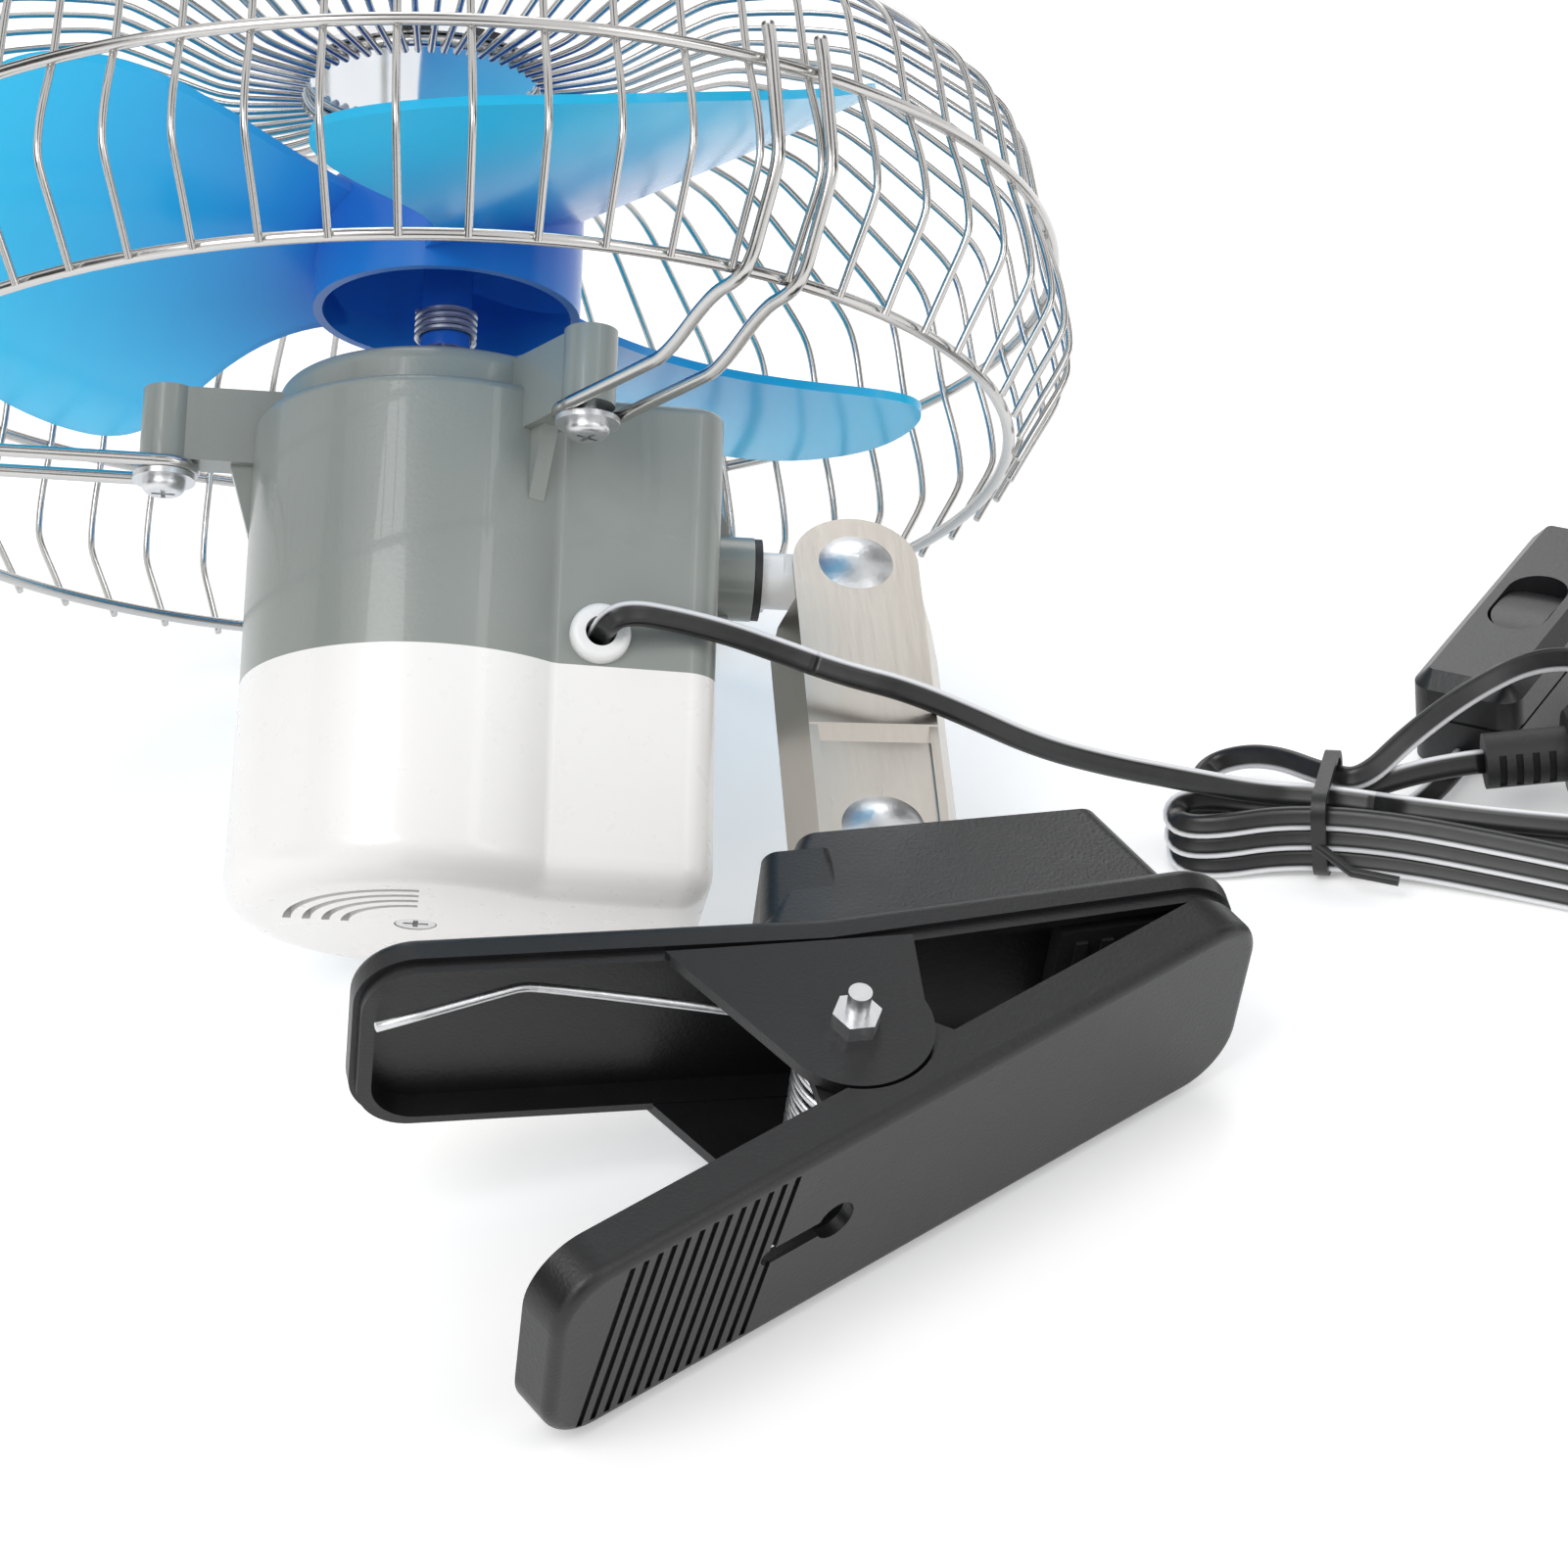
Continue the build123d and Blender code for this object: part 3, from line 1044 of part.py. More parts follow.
def main():
    os.makedirs("parts", exist_ok=True)
    nodes = stand_group()
    place = final_place(nodes)
    nodes = {name: [place * s for s in shapes_of(item)] for name, item in nodes.items()}
    nodes.update({name: shapes_of(item) for name, item in cord_group(place).items()})
    for name, solids in nodes.items():
        shape = solids[0] if len(solids) == 1 else Compound(children=solids)
        export_step(shape, "parts/" + name + ".step")
    head = place * head_to_stand()
    clip = place * clip_to_stand()
    for title, loc, axes in (("stand", place, ("X", "Y", "Z")), ("head", head, ("X", "Y", "Z")), ("clip", clip, ("X", "Y", "Z"))):
        print(title, "origin", [round(v, 3) for v in loc.position])
        for k in axes:
            end = (loc * Pos(*[1.0 if k == c else 0.0 for c in "XYZ"])).position - loc.position
            print("  axis", k, [round(v, 5) for v in end])


if __name__ == "__main__":
    main()
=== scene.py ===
"""Clip fan lying on a table: finishes, wire guard, cords, camera and light, all in metres."""
from math import cos, pi, radians, sin
import bmesh
import bpy
from mathutils import Matrix, Vector


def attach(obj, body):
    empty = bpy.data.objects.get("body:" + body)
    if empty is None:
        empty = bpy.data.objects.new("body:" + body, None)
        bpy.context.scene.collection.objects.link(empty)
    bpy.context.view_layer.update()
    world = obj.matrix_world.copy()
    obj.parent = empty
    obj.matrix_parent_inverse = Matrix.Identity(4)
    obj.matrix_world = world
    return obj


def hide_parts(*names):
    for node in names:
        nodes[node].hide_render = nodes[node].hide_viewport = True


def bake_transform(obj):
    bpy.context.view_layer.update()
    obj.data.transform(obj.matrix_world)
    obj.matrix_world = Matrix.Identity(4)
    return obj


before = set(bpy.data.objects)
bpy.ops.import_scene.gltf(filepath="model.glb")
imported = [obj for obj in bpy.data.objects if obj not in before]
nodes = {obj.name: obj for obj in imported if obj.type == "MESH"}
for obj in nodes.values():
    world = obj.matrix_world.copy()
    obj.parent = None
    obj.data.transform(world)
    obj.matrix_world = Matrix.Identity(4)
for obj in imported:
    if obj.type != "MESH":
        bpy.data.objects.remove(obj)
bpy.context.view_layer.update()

MM = 0.001


# ------------------------------------------------------------------ frames
def frame_of(origin, x_axis, z_axis):
    """matrix of a frame given in millimetres by its origin, X and Z"""
    x, z = Vector(x_axis).normalized(), Vector(z_axis).normalized()
    y = z.cross(x)
    turn = Matrix((x, y, z)).transposed().to_4x4()
    return Matrix.Translation(Vector(origin) * MM) @ turn


# the clip's bolt, the motor's middle and the guard's rear ring, as they lie on the table
clip = frame_of((39.4028, -73.8194, 19.6078),
                (0.9806028, 0.142931, -0.1341227), (-0.1019532, 0.9563738, 0.2737785))
head = frame_of((-4.935, 19.421, 52.3456),
                (0.9817302, -0.0455517, -0.1847455), (0.1577188, 0.7379586, 0.6561569))
guard_lean = radians(-2.7)
guard = head @ Matrix.Translation(Vector((-2.4, 0, 15.1)) * MM) @ Matrix.Rotation(guard_lean, 4, "Y")


# --------------------------------------------------------------- materials
class Socket:
    """a shader value that takes part in arithmetic"""

    def __init__(self, tree, out):
        self.tree, self.out = tree, out

    def _math(self, how, a, b=None):
        node = self.tree.nodes.new("ShaderNodeMath")
        node.operation = how
        for socket, value in zip(node.inputs, (a, b)):
            if isinstance(value, Socket):
                self.tree.links.new(value.out, socket)
            elif value is not None:
                socket.default_value = value
        return Socket(self.tree, node.outputs[0])

    def __add__(self, other):
        return self._math("ADD", self, other)

    __radd__ = __add__

    def __sub__(self, other):
        return self._math("SUBTRACT", self, other)

    def __mul__(self, other):
        return self._math("MULTIPLY", self, other)

    __rmul__ = __mul__

    def __truediv__(self, other):
        return self._math("DIVIDE", self, other)

    def __pow__(self, other):
        return self._math("POWER", self, other)

    def clamp(self):
        return self._math("MINIMUM", self._math("MAXIMUM", self, 0.0), 1.0)


class Finish:
    """a material under construction"""

    def __init__(self, name):
        self.material = bpy.data.materials.new(name)
        self.material.use_nodes = True
        self.tree = self.material.node_tree
        self.surface = self.tree.nodes["Principled BSDF"]

    def node(self, kind, settings=None, out=0, **inputs):
        node = self.tree.nodes.new(kind)
        for key, value in (settings or {}).items():
            setattr(node, key, value)
        for key, value in inputs.items():
            self.feed(node.inputs[key.replace("_", " ")], value)
        return Socket(self.tree, node.outputs[out])

    def feed(self, socket, value):
        if isinstance(value, Socket):
            self.tree.links.new(value.out, socket)
        else:
            socket.default_value = value

    def set(self, **values):
        for key, value in values.items():
            self.feed(self.surface.inputs[key.replace("_", " ")], value)
        return self

    def place(self, scale=(1, 1, 1), turn=(0, 0, 0), move=(0, 0, 0)):
        point = self.node("ShaderNodeTexCoord", out=3)
        return self.node("ShaderNodeMapping", Vector=point, Scale=scale, Rotation=turn, Location=move)

    def noise(self, size, detail=3.0, point=None, rough=0.5):
        """noise whose grain is about size metres"""
        point = point or self.place()
        return self.node("ShaderNodeTexNoise", Vector=point, Scale=1.0 / size, Detail=detail, Roughness=rough)

    def mix(self, factor, a, b):
        node = self.tree.nodes.new("ShaderNodeMix")
        node.data_type = "RGBA"
        self.feed(node.inputs[0], factor)
        self.feed(node.inputs[6], a)
        self.feed(node.inputs[7], b)
        return Socket(self.tree, node.outputs[2])

    def bump(self, height, depth, strength=1.0):
        return self.node("ShaderNodeBump", Height=height, Distance=depth, Strength=strength)


def rgb(r, g, b):
    return (r, g, b, 1.0)


def plated_wire():
    f = Finish("plated wire")
    cloud = f.noise(0.02)
    return f.set(Base_Color=f.mix(cloud, rgb(0.50, 0.49, 0.475), rgb(0.63, 0.62, 0.605)), Metallic=1.0,
                 Roughness=0.14 + cloud * 0.14).material


def mirror_badge():
    f = Finish("bright badge")
    cloud = f.noise(0.03)
    return f.set(Base_Color=f.mix(cloud, rgb(0.84, 0.85, 0.87), rgb(0.90, 0.91, 0.92)), Metallic=1.0,
                 Roughness=0.05 + cloud * 0.05).material


def zinc(name="zinc plated steel", tone=0.72):
    f = Finish(name)
    fine = f.noise(0.0012, 5.0)
    return f.set(Base_Color=f.mix(fine, rgb(tone - 0.08, tone - 0.07, tone - 0.05), rgb(tone, tone, tone)),
                 Metallic=1.0, Roughness=0.26 + fine * 0.18, Normal=f.bump(fine, 0.00006)).material


def sheet_steel():
    f = Finish("rolled sheet steel")
    grain = f.noise(0.0009, 4.0, f.place(scale=(1, 0.06, 0.3)))
    cloud = f.noise(0.03)
    tone = f.mix(cloud, rgb(0.52, 0.48, 0.43), rgb(0.64, 0.60, 0.55))
    return f.set(Base_Color=tone, Metallic=1.0, Roughness=0.24 + grain * 0.12,
                 Normal=f.bump(grain, 0.00003)).material


def moulded(name, low, high, rough, grain=0.0006, depth=0.00003, coat=0.0):
    """injection-moulded plastic: a faint cloud in its colour and a fine grain"""
    f = Finish(name)
    cloud, fine = f.noise(0.025), f.noise(grain, 4.0)
    f.set(Base_Color=f.mix(cloud, rgb(*low), rgb(*high)), Roughness=rough - 0.05 + fine * 0.12,
          Normal=f.bump(fine, depth))
    f.surface.inputs["Coat Weight"].default_value = coat
    return f.material


def black_clip():
    """black moulding with grain, fine scratches and rubbed dust"""
    f = Finish("black clip moulding")
    fine, dust = f.noise(0.0005, 4.0), f.noise(0.012, 6.0, rough=0.7)
    scratch = (f.noise(0.002, 2.0, f.place(scale=(0.15, 1.6, 1))) - 0.62).clamp() * 2.0
    rubbed = (dust - 0.45).clamp() * 0.5 + scratch * 0.2
    tone = f.mix(rubbed, rgb(0.006, 0.006, 0.007), rgb(0.028, 0.028, 0.030))
    return f.set(Base_Color=tone, Roughness=0.30 + dust * 0.16 - scratch * 0.1,
                 Normal=f.bump(fine, 0.00005)).material


hub_height = 46                     # millimetres up the motor's axis
hub_reach, blade_fade = 0.018, 0.05    # where the deep blue ends, and how far it takes to turn light


def blade_blue():
    """clear blue moulding: deep at the hub, lighter where the blades are thin"""
    f = Finish("clear blue moulding")
    point = f.node("ShaderNodeTexCoord", out=3)
    centre = head @ (Vector((0, 0, hub_height)) * MM)
    away = f.node("ShaderNodeVectorMath", {"operation": "DISTANCE"}, out=1)
    distance = f.tree.nodes[-1]
    f.feed(distance.inputs[0], point)
    distance.inputs[1].default_value = centre
    out = ((away - hub_reach) / blade_fade).clamp()
    tone = f.mix(out ** 0.6, rgb(0.020, 0.150, 0.70), rgb(0.030, 0.640, 1.00))
    cloud = f.noise(0.03)
    f.set(Base_Color=tone, Roughness=0.14 + cloud * 0.08, IOR=1.46)
    f.surface.inputs["Transmission Weight"].default_value = 0.30
    f.surface.inputs["Specular IOR Level"].default_value = 0.30
    return f.material


def cord_rubber():
    """black twin cord with one pale edge, painted by the piece's own attribute"""
    f = Finish("twin cord")
    stripe = f.node("ShaderNodeAttribute", {"attribute_name": "stripe"}, out=2)
    fine = f.noise(0.0016, 3.0)
    black = f.mix(fine, rgb(0.006, 0.006, 0.007), rgb(0.018, 0.018, 0.019))
    tone = f.mix(stripe, black, rgb(0.78, 0.78, 0.80))
    return f.set(Base_Color=tone, Roughness=0.26 + fine * 0.14).material


steel_wire, badge_mirror, zinc_screw, steel_sheet = plated_wire(), mirror_badge(), zinc(), sheet_steel()
grey_housing = moulded("grey housing", (0.225, 0.245, 0.230), (0.265, 0.288, 0.270), 0.30, coat=0.35)
white_cover = moulded("white cover", (0.85, 0.835, 0.82), (0.90, 0.885, 0.87), 0.28, 0.003, 0.00001, 0.2)
white_nylon = moulded("white nylon", (0.84, 0.84, 0.84), (0.90, 0.90, 0.90), 0.34)
clip_black, clear_blue, twin_cord = black_clip(), blade_blue(), cord_rubber()
pad_rubber = moulded("pad rubber", (0.008, 0.008, 0.009), (0.02, 0.02, 0.021), 0.55, 0.0008, 0.00008)
plug_black = moulded("black plug moulding", (0.008, 0.008, 0.009), (0.022, 0.022, 0.024), 0.34)
bronze = zinc("sintered bronze", 0.62)
tie_black = moulded("tie plastic", (0.01, 0.01, 0.01), (0.025, 0.025, 0.025), 0.4)

wearing = {
    steel_wire: ("guard_rear_ring", "guard_middle_ring", "guard_centre_ring", "guard_side_wires",
                 "guard_front_wires", "guard_stay_right", "guard_stay_left", "guard_stay_front"),
    badge_mirror: ("guard_badge",),
    zinc_screw: ("stay_screws", "rear_cover_screw", "clip_bolt", "clip_nut", "clip_spring", "tilt_rivet",
                 "lower_rivet", "hub_clip", "plug_tip", "plug_side_contacts", "motor_shaft", "drive_link"),
    steel_sheet: ("bracket", "motor_can"), grey_housing: ("housing_front",), white_cover: ("rear_cover",),
    white_nylon: ("cord_grommet", "pivot_shaft", "worm", "crank_wheel"), clear_blue: ("fan_impeller",),
    clip_black: ("clip_upper_jaw", "clip_lower_jaw"),
    pad_rubber: ("upper_pad", "lower_pad", "pivot_washer", "plug_relief"),
    plug_black: ("switch_body", "switch_rocker", "plug_body"), bronze: ("motor_bearings",),
    tie_black: ("cord_tie",), twin_cord: ("cord_lead_head", "cord_lead_stand", "cord_hank", "cord_tail"),
}
for material, names in wearing.items():
    for name in names:
        mesh = nodes[name].data
        mesh.materials.clear()
        mesh.materials.append(material)


# ------------------------------------------------------------------ pieces
def keep(name, mesh, material=None):
    """a finished piece at the origin"""
    mesh.name = name
    piece = bpy.data.objects.new(name, mesh)
    bpy.context.scene.collection.objects.link(piece)
    if material:
        mesh.materials.clear()
        mesh.materials.append(material)
    return piece


def smooth(mesh):
    mesh.polygons.foreach_set("use_smooth", [True] * len(mesh.polygons))


def nurbs_points(route, resolution=10):
    """points along the smooth line of a route, in metres"""
    curve = bpy.data.curves.new("route", "CURVE")
    curve.dimensions = "3D"
    curve.resolution_u = resolution
    spline = curve.splines.new("NURBS")
    spline.points.add(len(route) - 1)
    for point, place in zip(spline.points, route):
        point.co = (*[v * MM for v in place], 1.0)
    spline.order_u = 3
    spline.use_endpoint_u = True
    holder = bpy.data.objects.new("route", curve)
    bpy.context.scene.collection.objects.link(holder)
    bpy.context.view_layer.update()
    mesh = bpy.data.meshes.new_from_object(holder.evaluated_get(bpy.context.evaluated_depsgraph_get()))
    points = [v.co.copy() for v in mesh.vertices]
    bpy.data.objects.remove(holder)
    bpy.data.curves.remove(curve)
    bpy.data.meshes.remove(mesh)
    return points


def tube_mesh(name, points, outline, up, stripe=None):
    """sweep of an outline, given as (across, high) pairs in metres, with its high side kept towards up"""
    bm = bmesh.new()
    layer = bm.verts.layers.float.new("stripe")
    rings, side_before = [], None
    for i, p in enumerate(points):
        along = (points[min(i + 1, len(points) - 1)] - points[max(i - 1, 0)]).normalized()
        high = up(i / (len(points) - 1)) if callable(up) else Vector(up)
        side = along.cross(high)
        side = side.normalized() if side.length > 0.05 else side_before
        if side_before and side.dot(side_before) < 0.2:
            side = (side_before - along * side_before.dot(along)).normalized()
        side_before = side
        high = side.cross(along).normalized()
        ring = []
        for k, (a, b) in enumerate(outline):
            vert = bm.verts.new(p + side * a + high * b)
            vert[layer] = stripe[k] if stripe else 0.0
            ring.append(vert)
        rings.append(ring)
    n = len(outline)
    for r, s in zip(rings, rings[1:]):
        for k in range(n):
            bm.faces.new((r[k], r[(k + 1) % n], s[(k + 1) % n], s[k]))
    bm.faces.new(rings[0][::-1])
    bm.faces.new(rings[-1])
    bmesh.ops.recalc_face_normals(bm, faces=bm.faces)
    mesh = bpy.data.meshes.new(name)
    bm.to_mesh(mesh)
    bm.free()
    smooth(mesh)
    for index in (-2, -1):
        mesh.polygons[index].use_smooth = False    # the two end caps
    return mesh


def circle(r, sides):
    return [(r * cos(2 * pi * k / sides), r * sin(2 * pi * k / sides)) for k in range(sides)]


def twin_outline(wide, thick, sides=9):
    """two round strands side by side, with a pale edge on one of them"""
    r, off = thick / 2, (wide - thick) / 2
    points, pale = [], []
    for centre, start in ((off, -pi / 2 - 0.3), (-off, pi / 2 - 0.3)):
        for k in range(sides):
            a = start + (pi + 0.6) * k / (sides - 1)
            points.append((centre + r * cos(a), r * sin(a)))
            pale.append(1.0 if centre < 0 and 2 <= k <= 5 else 0.0)
    return points, pale


# ------------------------------------------------------------- wire guard
wires, wire_thick, wire_phase = 60, 1.05, 2.2
ring_thick, ring_steps, ring_sides = 1.7, 144, 12
stay_thick, stay_gap, stay_level = 1.8, 8.2, 10.9
guard_rings = (("ring_rear", "guard_rear_ring", 81.0, 0), ("ring_middle", "guard_middle_ring", 88.0, 25.6),
               ("ring_centre", "guard_centre_ring", 17.0, 54.81))


def wire_line():
    """the smooth line of one guard wire, in the guard's own frame"""
    bends = [(82.4, -0.9), (85.6, 4.6), (89.4, 10.6), (89.9, 13.2), (89.2, 18.6), (87.0, 25.6), (86.2, 31.0),
             (85.3, 37.2), (83.9, 40.9), (80.6, 44.2), (72.0, 50.9), (65.6, 55.6), (61.0, 57.9), (52.0, 59.3),
             (45.4, 60.0), (42.2, 59.5), (35.0, 56.8), (29.2, 54.4), (26.5, 53.9), (22.0, 53.6), (17.0, 53.4)]
    return [(r, 0.0, up) for r, up in bends]


def wire_tree(count, thick, material):
    """one wire swept round its line, then repeated about the guard's axis"""
    tree = bpy.data.node_groups.new("guard wires", "GeometryNodeTree")
    face = tree.interface
    face.new_socket("Geometry", in_out="INPUT", socket_type="NodeSocketGeometry")
    face.new_socket("Wires", in_out="INPUT", socket_type="NodeSocketInt").default_value = count
    face.new_socket("Thickness", in_out="INPUT", socket_type="NodeSocketFloat").default_value = thick
    face.new_socket("Phase", in_out="INPUT", socket_type="NodeSocketFloat").default_value = radians(wire_phase)
    face.new_socket("Geometry", in_out="OUTPUT", socket_type="NodeSocketGeometry")
    new, link = tree.nodes.new, tree.links.new
    entry, leave = new("NodeGroupInput"), new("NodeGroupOutput")
    section = new("GeometryNodeCurvePrimitiveCircle")
    section.inputs["Resolution"].default_value = 8
    half = new("ShaderNodeMath")
    half.operation = "MULTIPLY"
    half.inputs[1].default_value = 0.5
    link(entry.outputs["Thickness"], half.inputs[0])
    link(half.outputs[0], section.inputs["Radius"])
    sweep = new("GeometryNodeCurveToMesh")
    sweep.inputs["Fill Caps"].default_value = True
    link(entry.outputs["Geometry"], sweep.inputs["Curve"])
    link(section.outputs["Curve"], sweep.inputs["Profile Curve"])
    spots = new("GeometryNodePoints")
    link(entry.outputs["Wires"], spots.inputs["Count"])
    index = new("GeometryNodeInputIndex")
    share = new("ShaderNodeMath")
    share.operation = "DIVIDE"
    link(index.outputs[0], share.inputs[0])
    link(entry.outputs["Wires"], share.inputs[1])
    angle = new("ShaderNodeMath")
    angle.operation = "MULTIPLY_ADD"
    angle.inputs[1].default_value = 2 * pi
    link(share.outputs[0], angle.inputs[0])
    link(entry.outputs["Phase"], angle.inputs[2])
    turn = new("ShaderNodeCombineXYZ")
    link(angle.outputs[0], turn.inputs["Z"])
    copies = new("GeometryNodeInstanceOnPoints")
    link(spots.outputs[0], copies.inputs["Points"])
    link(sweep.outputs["Mesh"], copies.inputs["Instance"])
    link(turn.outputs[0], copies.inputs["Rotation"])
    real = new("GeometryNodeRealizeInstances")
    link(copies.outputs[0], real.inputs[0])
    paint = new("GeometryNodeSetMaterial")
    paint.inputs["Material"].default_value = material
    link(real.outputs[0], paint.inputs["Geometry"])
    shade = new("GeometryNodeSetShadeSmooth")
    link(paint.outputs[0], shade.inputs["Geometry"])
    link(shade.outputs[0], leave.inputs["Geometry"])
    return tree


def guard_wires():
    curve = bpy.data.curves.new("wire", "CURVE")
    curve.dimensions = "3D"
    curve.resolution_u = 3
    spline = curve.splines.new("NURBS")
    line = wire_line()
    spline.points.add(len(line) - 1)
    for point, place in zip(spline.points, line):
        point.co = (*[v * MM for v in place], 1.0)
    spline.order_u = 3
    spline.use_endpoint_u = True
    holder = bpy.data.objects.new("wire", curve)
    bpy.context.scene.collection.objects.link(holder)
    steps = holder.modifiers.new("wires", "NODES")
    steps.node_group = wire_tree(wires, wire_thick * MM, steel_wire)
    bpy.context.view_layer.update()
    mesh = bpy.data.meshes.new_from_object(holder.evaluated_get(bpy.context.evaluated_depsgraph_get()))
    bpy.data.objects.remove(holder)
    mesh.transform(guard)
    piece = keep("guard_wire_set", mesh)
    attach(piece, "head")
    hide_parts("guard_side_wires", "guard_front_wires")


def smooth_rings():
    """round rings in place of the faceted ones"""
    axis = guard.to_3x3() @ Vector((0, 0, 1))
    for name, node, r, up in guard_rings:
        middle = guard @ (Vector((0, 0, up)) * MM)
        bm = bmesh.new()
        sections = []
        for step in range(ring_steps):
            a = 2 * pi * step / ring_steps
            p = guard @ (Vector((r * cos(a), r * sin(a), up)) * MM)
            out = (p - middle).normalized()
            sections.append([bm.verts.new(p + out * across + axis * high)
                             for across, high in circle(ring_thick / 2 * MM, ring_sides)])
        for here, after in zip(sections, sections[1:] + sections[:1]):
            for k in range(ring_sides):
                m = (k + 1) % ring_sides
                bm.faces.new((here[k], here[m], after[m], after[k]))
        bmesh.ops.recalc_face_normals(bm, faces=bm.faces)
        mesh = bpy.data.meshes.new(name)
        bm.to_mesh(mesh)
        bm.free()
        smooth(mesh)
        piece = keep(name, mesh, steel_wire)
        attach(piece, "head")
        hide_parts(node)


def on_guard(r, up, y, angle):
    x = (r * r - y * y) ** 0.5
    return (guard @ Matrix.Rotation(radians(angle), 4, "Z")) @ (Vector((x, y, up)) * MM)


def stays():
    """each stay is one bent wire: up a leg, round the screw and back"""
    for name, angle in (("right", 60.0), ("left", 180.0), ("front", 300.0)):
        place = head @ Matrix.Rotation(radians(angle), 4, "Z")
        legs = {}
        for side in (1, -1):
            y = side * stay_gap / 2
            near = [place @ (Vector((x, y, stay_level)) * MM) for x in (39.5, 48.0, 57.0, 62.0)]
            far = [on_guard(r, up, y, angle) for r, up in (
                (76.0, -1.95), (81.5, -2.0), (84.6, -0.6), (87.2, 4.2), (90.6, 10.2),
                (91.1, 13.0), (90.5, 19.0), (89.85, 25.6), (89.6, 28.0), (89.1, 30.1))]
            legs[side] = near + far
        eye = [place @ (Vector((37.5 + stay_gap / 2 * cos(t), stay_gap / 2 * sin(t), stay_level)) * MM)
               for t in [radians(a) for a in (75, 105, 135, 165, 195, 225, 255, 285)]]
        line = legs[1][::-1] + eye + legs[-1]
        points = nurbs_points([p / MM for p in line], 6)
        up = (head.to_3x3() @ Vector((0.05, 0.1, 1))).normalized()
        mesh = tube_mesh("stay_" + name, points, circle(stay_thick / 2 * MM, 10), up)
        piece = keep("stay_" + name, mesh, steel_wire)
        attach(piece, "head")
        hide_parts("guard_stay_" + name)


# ------------------------------------------------------------------- cords
lead_a = [(16.2, -4.7, 50.8), (17.2, -9.2, 55.6), (20.5, -9.3, 57.2), (26.8, -7.2, 53.8), (33.7, -6.4, 50.2),
          (40.7, -7.6, 46.8), (44.5, -9.0, 45.4)]
lead_b = [(44.5, -9.0, 45.4), (48.4, -10.4, 44.0), (56.0, -12.6, 41.9), (64.2, -11.6, 36.0), (73.4, -8.6, 27.9),
          (83.2, -4.6, 21.0), (92.8, -1.6, 15.6), (105.0, 1.0, 9.5), (113.5, -2.0, 9.6), (119.8, -5.0, 9.3)]
hank = [(119.8, -5.0, 9.3), (147.0, -17.6, 8.1), (184.6, -24.7, 8.1), (175.1, -45.1, 8.1), (144.5, -23.2, 8.1),
        (112.4, -5.3, 9.6), (91.4, -4.3, 8.1), (93.9, 6.3, 8.1), (113.5, -2.0, 6.3), (148.1, -15.3, 4.8),
        (184.6, -24.7, 4.8), (175.1, -45.1, 4.8), (144.5, -23.2, 4.8), (112.4, -5.3, 6.3), (91.4, -4.3, 4.8),
        (93.9, 6.3, 4.8), (113.5, -2.0, 2.9), (148.1, -15.3, 1.5), (184.6, -24.7, 1.5), (175.1, -45.1, 1.5),
        (144.5, -23.2, 1.5), (112.4, -5.3, 2.9), (91.4, -4.3, 1.5), (94.7, 9.8, 1.5), (114.6, 1.3, 2.9),
        (121.7, 2.5, 1.5), (128.4, 3.7, 2.6), (135.8, 14.3, 2.6)]
tail = [(136.2, 0.6, 10.4), (128.2, 1.0, 10.3), (114.9, 2.1, 6.3), (106.6, 7.9, 4.8), (97.3, 12.5, 4.8),
        (100.7, 18.2, 4.8), (107.7, 12.7, 8.5), (114.9, 2.1, 10.0), (119.1, -0.5, 10.5), (127.0, 5.2, 13.5),
        (137.0, 8.5, 17.8), (147.0, 13.5, 18.2), (158.0, 18.0, 13.0), (172.0, 20.5, 6.0), (190.0, 22.0, 2.6),
        (222.0, 26.0, 2.6), (226.0, 52.0, 2.6), (205.0, 72.0, 2.6), (172.5, 66.8, 2.6), (163.4, 53.7, 2.6)]
cord_wide, cord_thick = 3.4 * MM, 1.8 * MM


def lay_cord(name, route, node, up):
    points = nurbs_points(route, 10)
    outline, pale = twin_outline(cord_wide, cord_thick)
    piece = keep(name, tube_mesh(name, points, outline, up, pale), twin_cord)
    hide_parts(node)
    return piece


def cords():
    """the lead over the bracket, the tied hank with its switch, and the cord on to the plug"""
    face = (-0.05, -0.85, 0.55)
    first = lay_cord("lead_at_head", lead_a, "cord_lead_head", face)
    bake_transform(first)
    second = lay_cord("lead_to_tie", lead_b, "cord_lead_stand", face)
    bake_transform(second)
    bundle = lay_cord("tied_hank", hank, "cord_hank", face)
    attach(bundle, "clip_base")
    last = lay_cord("cord_to_plug", tail[::-1], "cord_tail", face)
    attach(last, "clip_base")


def spring():
    """the clip's torsion spring: a coil round the bolt, one leg under each handle's floor"""
    r, wire, turns, half = 6.6, 0.65, 7, 8.6
    upper = [(-57.5, -half, 12.6), (-40.0, -half, 16.6), (-38.5, -half, 16.9), (-36.0, -half, 16.6),
             (-9.0, -half, 8.6)]
    coil = []
    for k in range(turns * 12 + 5):
        a = radians(118 + 30 * k)
        coil.append((r * cos(a), -half + 2 * half * k / (turns * 12 + 4), r * sin(a)))
    turned = Matrix.Rotation(radians(-26.1), 4, "Y")
    lower = [turned @ Vector(p) for p in ((-10.0, half, -8.6), (-24.0, half, -11.6), (-40.0, half, -10.4))]
    line = [clip @ (Vector(p) * MM) for p in [*upper, *coil, *lower]]
    points = nurbs_points([p / MM for p in line], 4)
    piece = keep("spring_wire", tube_mesh("spring_wire", points, circle(wire * MM, 8), (0, 0, 1)), zinc_screw)
    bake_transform(piece)
    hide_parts("clip_spring")


guard_wires()
smooth_rings()
stays()
spring()
cords()


# --------------------------------------------------------- camera and light
focal_px, picture_px = 5280.6, 1601


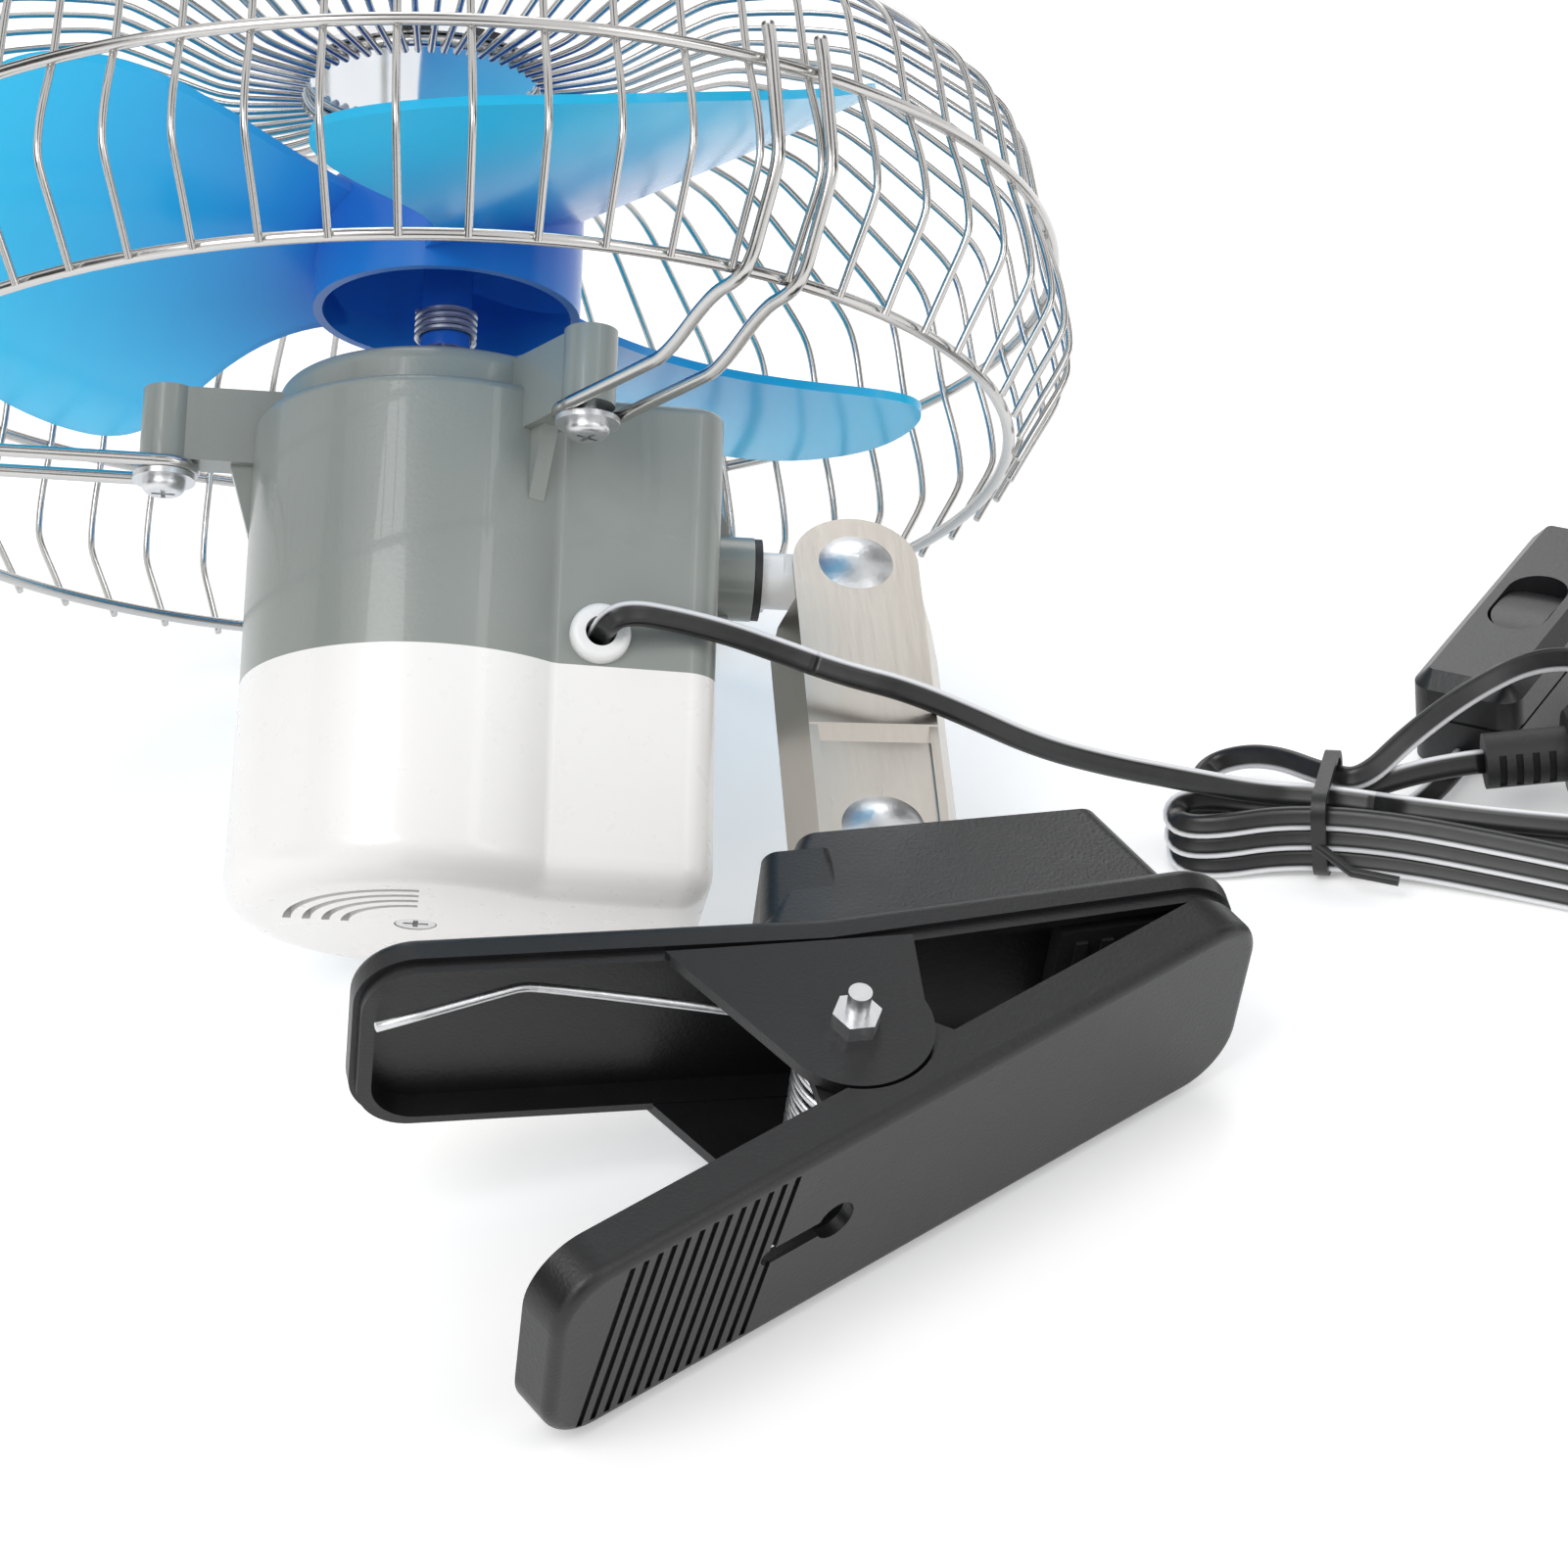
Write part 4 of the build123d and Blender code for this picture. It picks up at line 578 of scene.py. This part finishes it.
def camera():
    data = bpy.data.cameras.new("camera")
    data.sensor_width = 36.0
    data.lens = focal_px / picture_px * data.sensor_width
    data.clip_start, data.clip_end = 0.05, 20.0
    eye = bpy.data.objects.new("camera", data)
    right, up = Vector((0.99165, -0.08930, -0.09306)), Vector((0.12618, 0.52271, 0.84312))
    turn = Matrix((right, up, right.cross(up))).transposed().to_4x4()
    eye.matrix_world = Matrix.Translation(Vector((19.94, -602.92, 398.18)) * MM) @ turn
    bpy.context.scene.collection.objects.link(eye)
    bpy.context.scene.camera = eye


def lamp(name, place, target, size, power):
    data = bpy.data.lights.new(name, "AREA")
    data.shape, data.size, data.energy = "DISK", size, power
    lamp_object = bpy.data.objects.new(name, data)
    place, target = Vector(place), Vector(target)
    lamp_object.location = place
    lamp_object.rotation_euler = (target - place).to_track_quat("-Z", "Y").to_euler()
    bpy.context.scene.collection.objects.link(lamp_object)


def seen_white(tree):
    """factor of rays that see the studio as plain white"""
    path = tree.nodes.new("ShaderNodeLightPath")
    most = None
    for key in ("Is Camera Ray", "Is Glossy Ray", "Is Transmission Ray"):
        out = path.outputs[key]
        if most is None:
            most = out
            continue
        node = tree.nodes.new("ShaderNodeMath")
        node.operation = "MAXIMUM"
        tree.links.new(most, node.inputs[0])
        tree.links.new(out, node.inputs[1])
        most = node.outputs[0]
    return most


def studio():
    world = bpy.data.worlds.new("studio")
    bpy.context.scene.world = world
    world.use_nodes = True
    tree = world.node_tree
    back = tree.nodes["Background"]
    white = seen_white(tree)
    strength = tree.nodes.new("ShaderNodeMix")
    strength.data_type = "FLOAT"
    strength.inputs[2].default_value, strength.inputs[3].default_value = 0.62, 1.0
    tree.links.new(white, strength.inputs[0])
    tree.links.new(strength.outputs[0], back.inputs["Strength"])
    back.inputs["Color"].default_value = (1, 1, 1, 1)
    floor_mesh = bpy.data.meshes.new("floor")
    s, level = 3.0, -0.0002
    corners = [(-s, -s, level), (s, -s, level), (s, s, level), (-s, s, level)]
    floor_mesh.from_pydata(corners, [], [(0, 1, 2, 3)])
    floor = bpy.data.objects.new("floor", floor_mesh)
    bpy.context.scene.collection.objects.link(floor)
    f = Finish("pale floor")
    f.set(Base_Color=rgb(0.93, 0.93, 0.93), Roughness=0.6)
    f.surface.inputs["Emission Color"].default_value = (1, 1, 1, 1)
    f.surface.inputs["Emission Strength"].default_value = 0.25
    floor_mesh.materials.append(f.material)
    middle = (0.03, 0.0, 0.07)
    lamp("key", (-0.55, -0.75, 1.25), middle, 0.9, 9.0)
    lamp("fill", (1.1, -0.5, 0.8), middle, 0.9, 4.5)
    lamp("rim", (0.2, 1.2, 1.1), middle, 0.9, 5.0)


def card(name, azimuth, rise, size, away=1.1, tone=0.02):
    """a dark card that only mirrors see, so that bright metal and gloss have something to show"""
    azimuth, rise = radians(azimuth), radians(rise)
    out = Vector((cos(azimuth) * cos(rise), sin(azimuth) * cos(rise), sin(rise)))
    mesh = bpy.data.meshes.new(name)
    w, h = size[0] / 2, size[1] / 2
    mesh.from_pydata([(-w, -h, 0), (w, -h, 0), (w, h, 0), (-w, h, 0)], [], [(0, 1, 2, 3)])
    facing = out.to_track_quat("Z", "Y").to_matrix().to_4x4()
    mesh.transform(Matrix.Translation(Vector((0.03, 0, 0.08)) + out * away) @ facing)
    piece = bpy.data.objects.new(name, mesh)
    bpy.context.scene.collection.objects.link(piece)
    f = Finish(name)
    mesh.materials.append(f.set(Base_Color=rgb(tone, tone, tone), Roughness=1.0).material)
    piece.visible_camera = piece.visible_diffuse = piece.visible_shadow = piece.visible_transmission = False


def cards():
    for name, azimuth, rise, size in (
            ("card_left", -165, 22, (0.75, 0.9)), ("card_right", -10, 22, (0.75, 0.9)),
            ("card_front", -90, 12, (0.5, 0.45)), ("card_top", -90, 84, (0.5, 0.5)),
            ("card_far_left", 125, 30, (0.5, 0.7)), ("card_far_right", 50, 30, (0.5, 0.7))):
        card(name, azimuth, rise, size)


camera()
studio()
cards()
bpy.context.scene.view_settings.view_transform = "Standard"
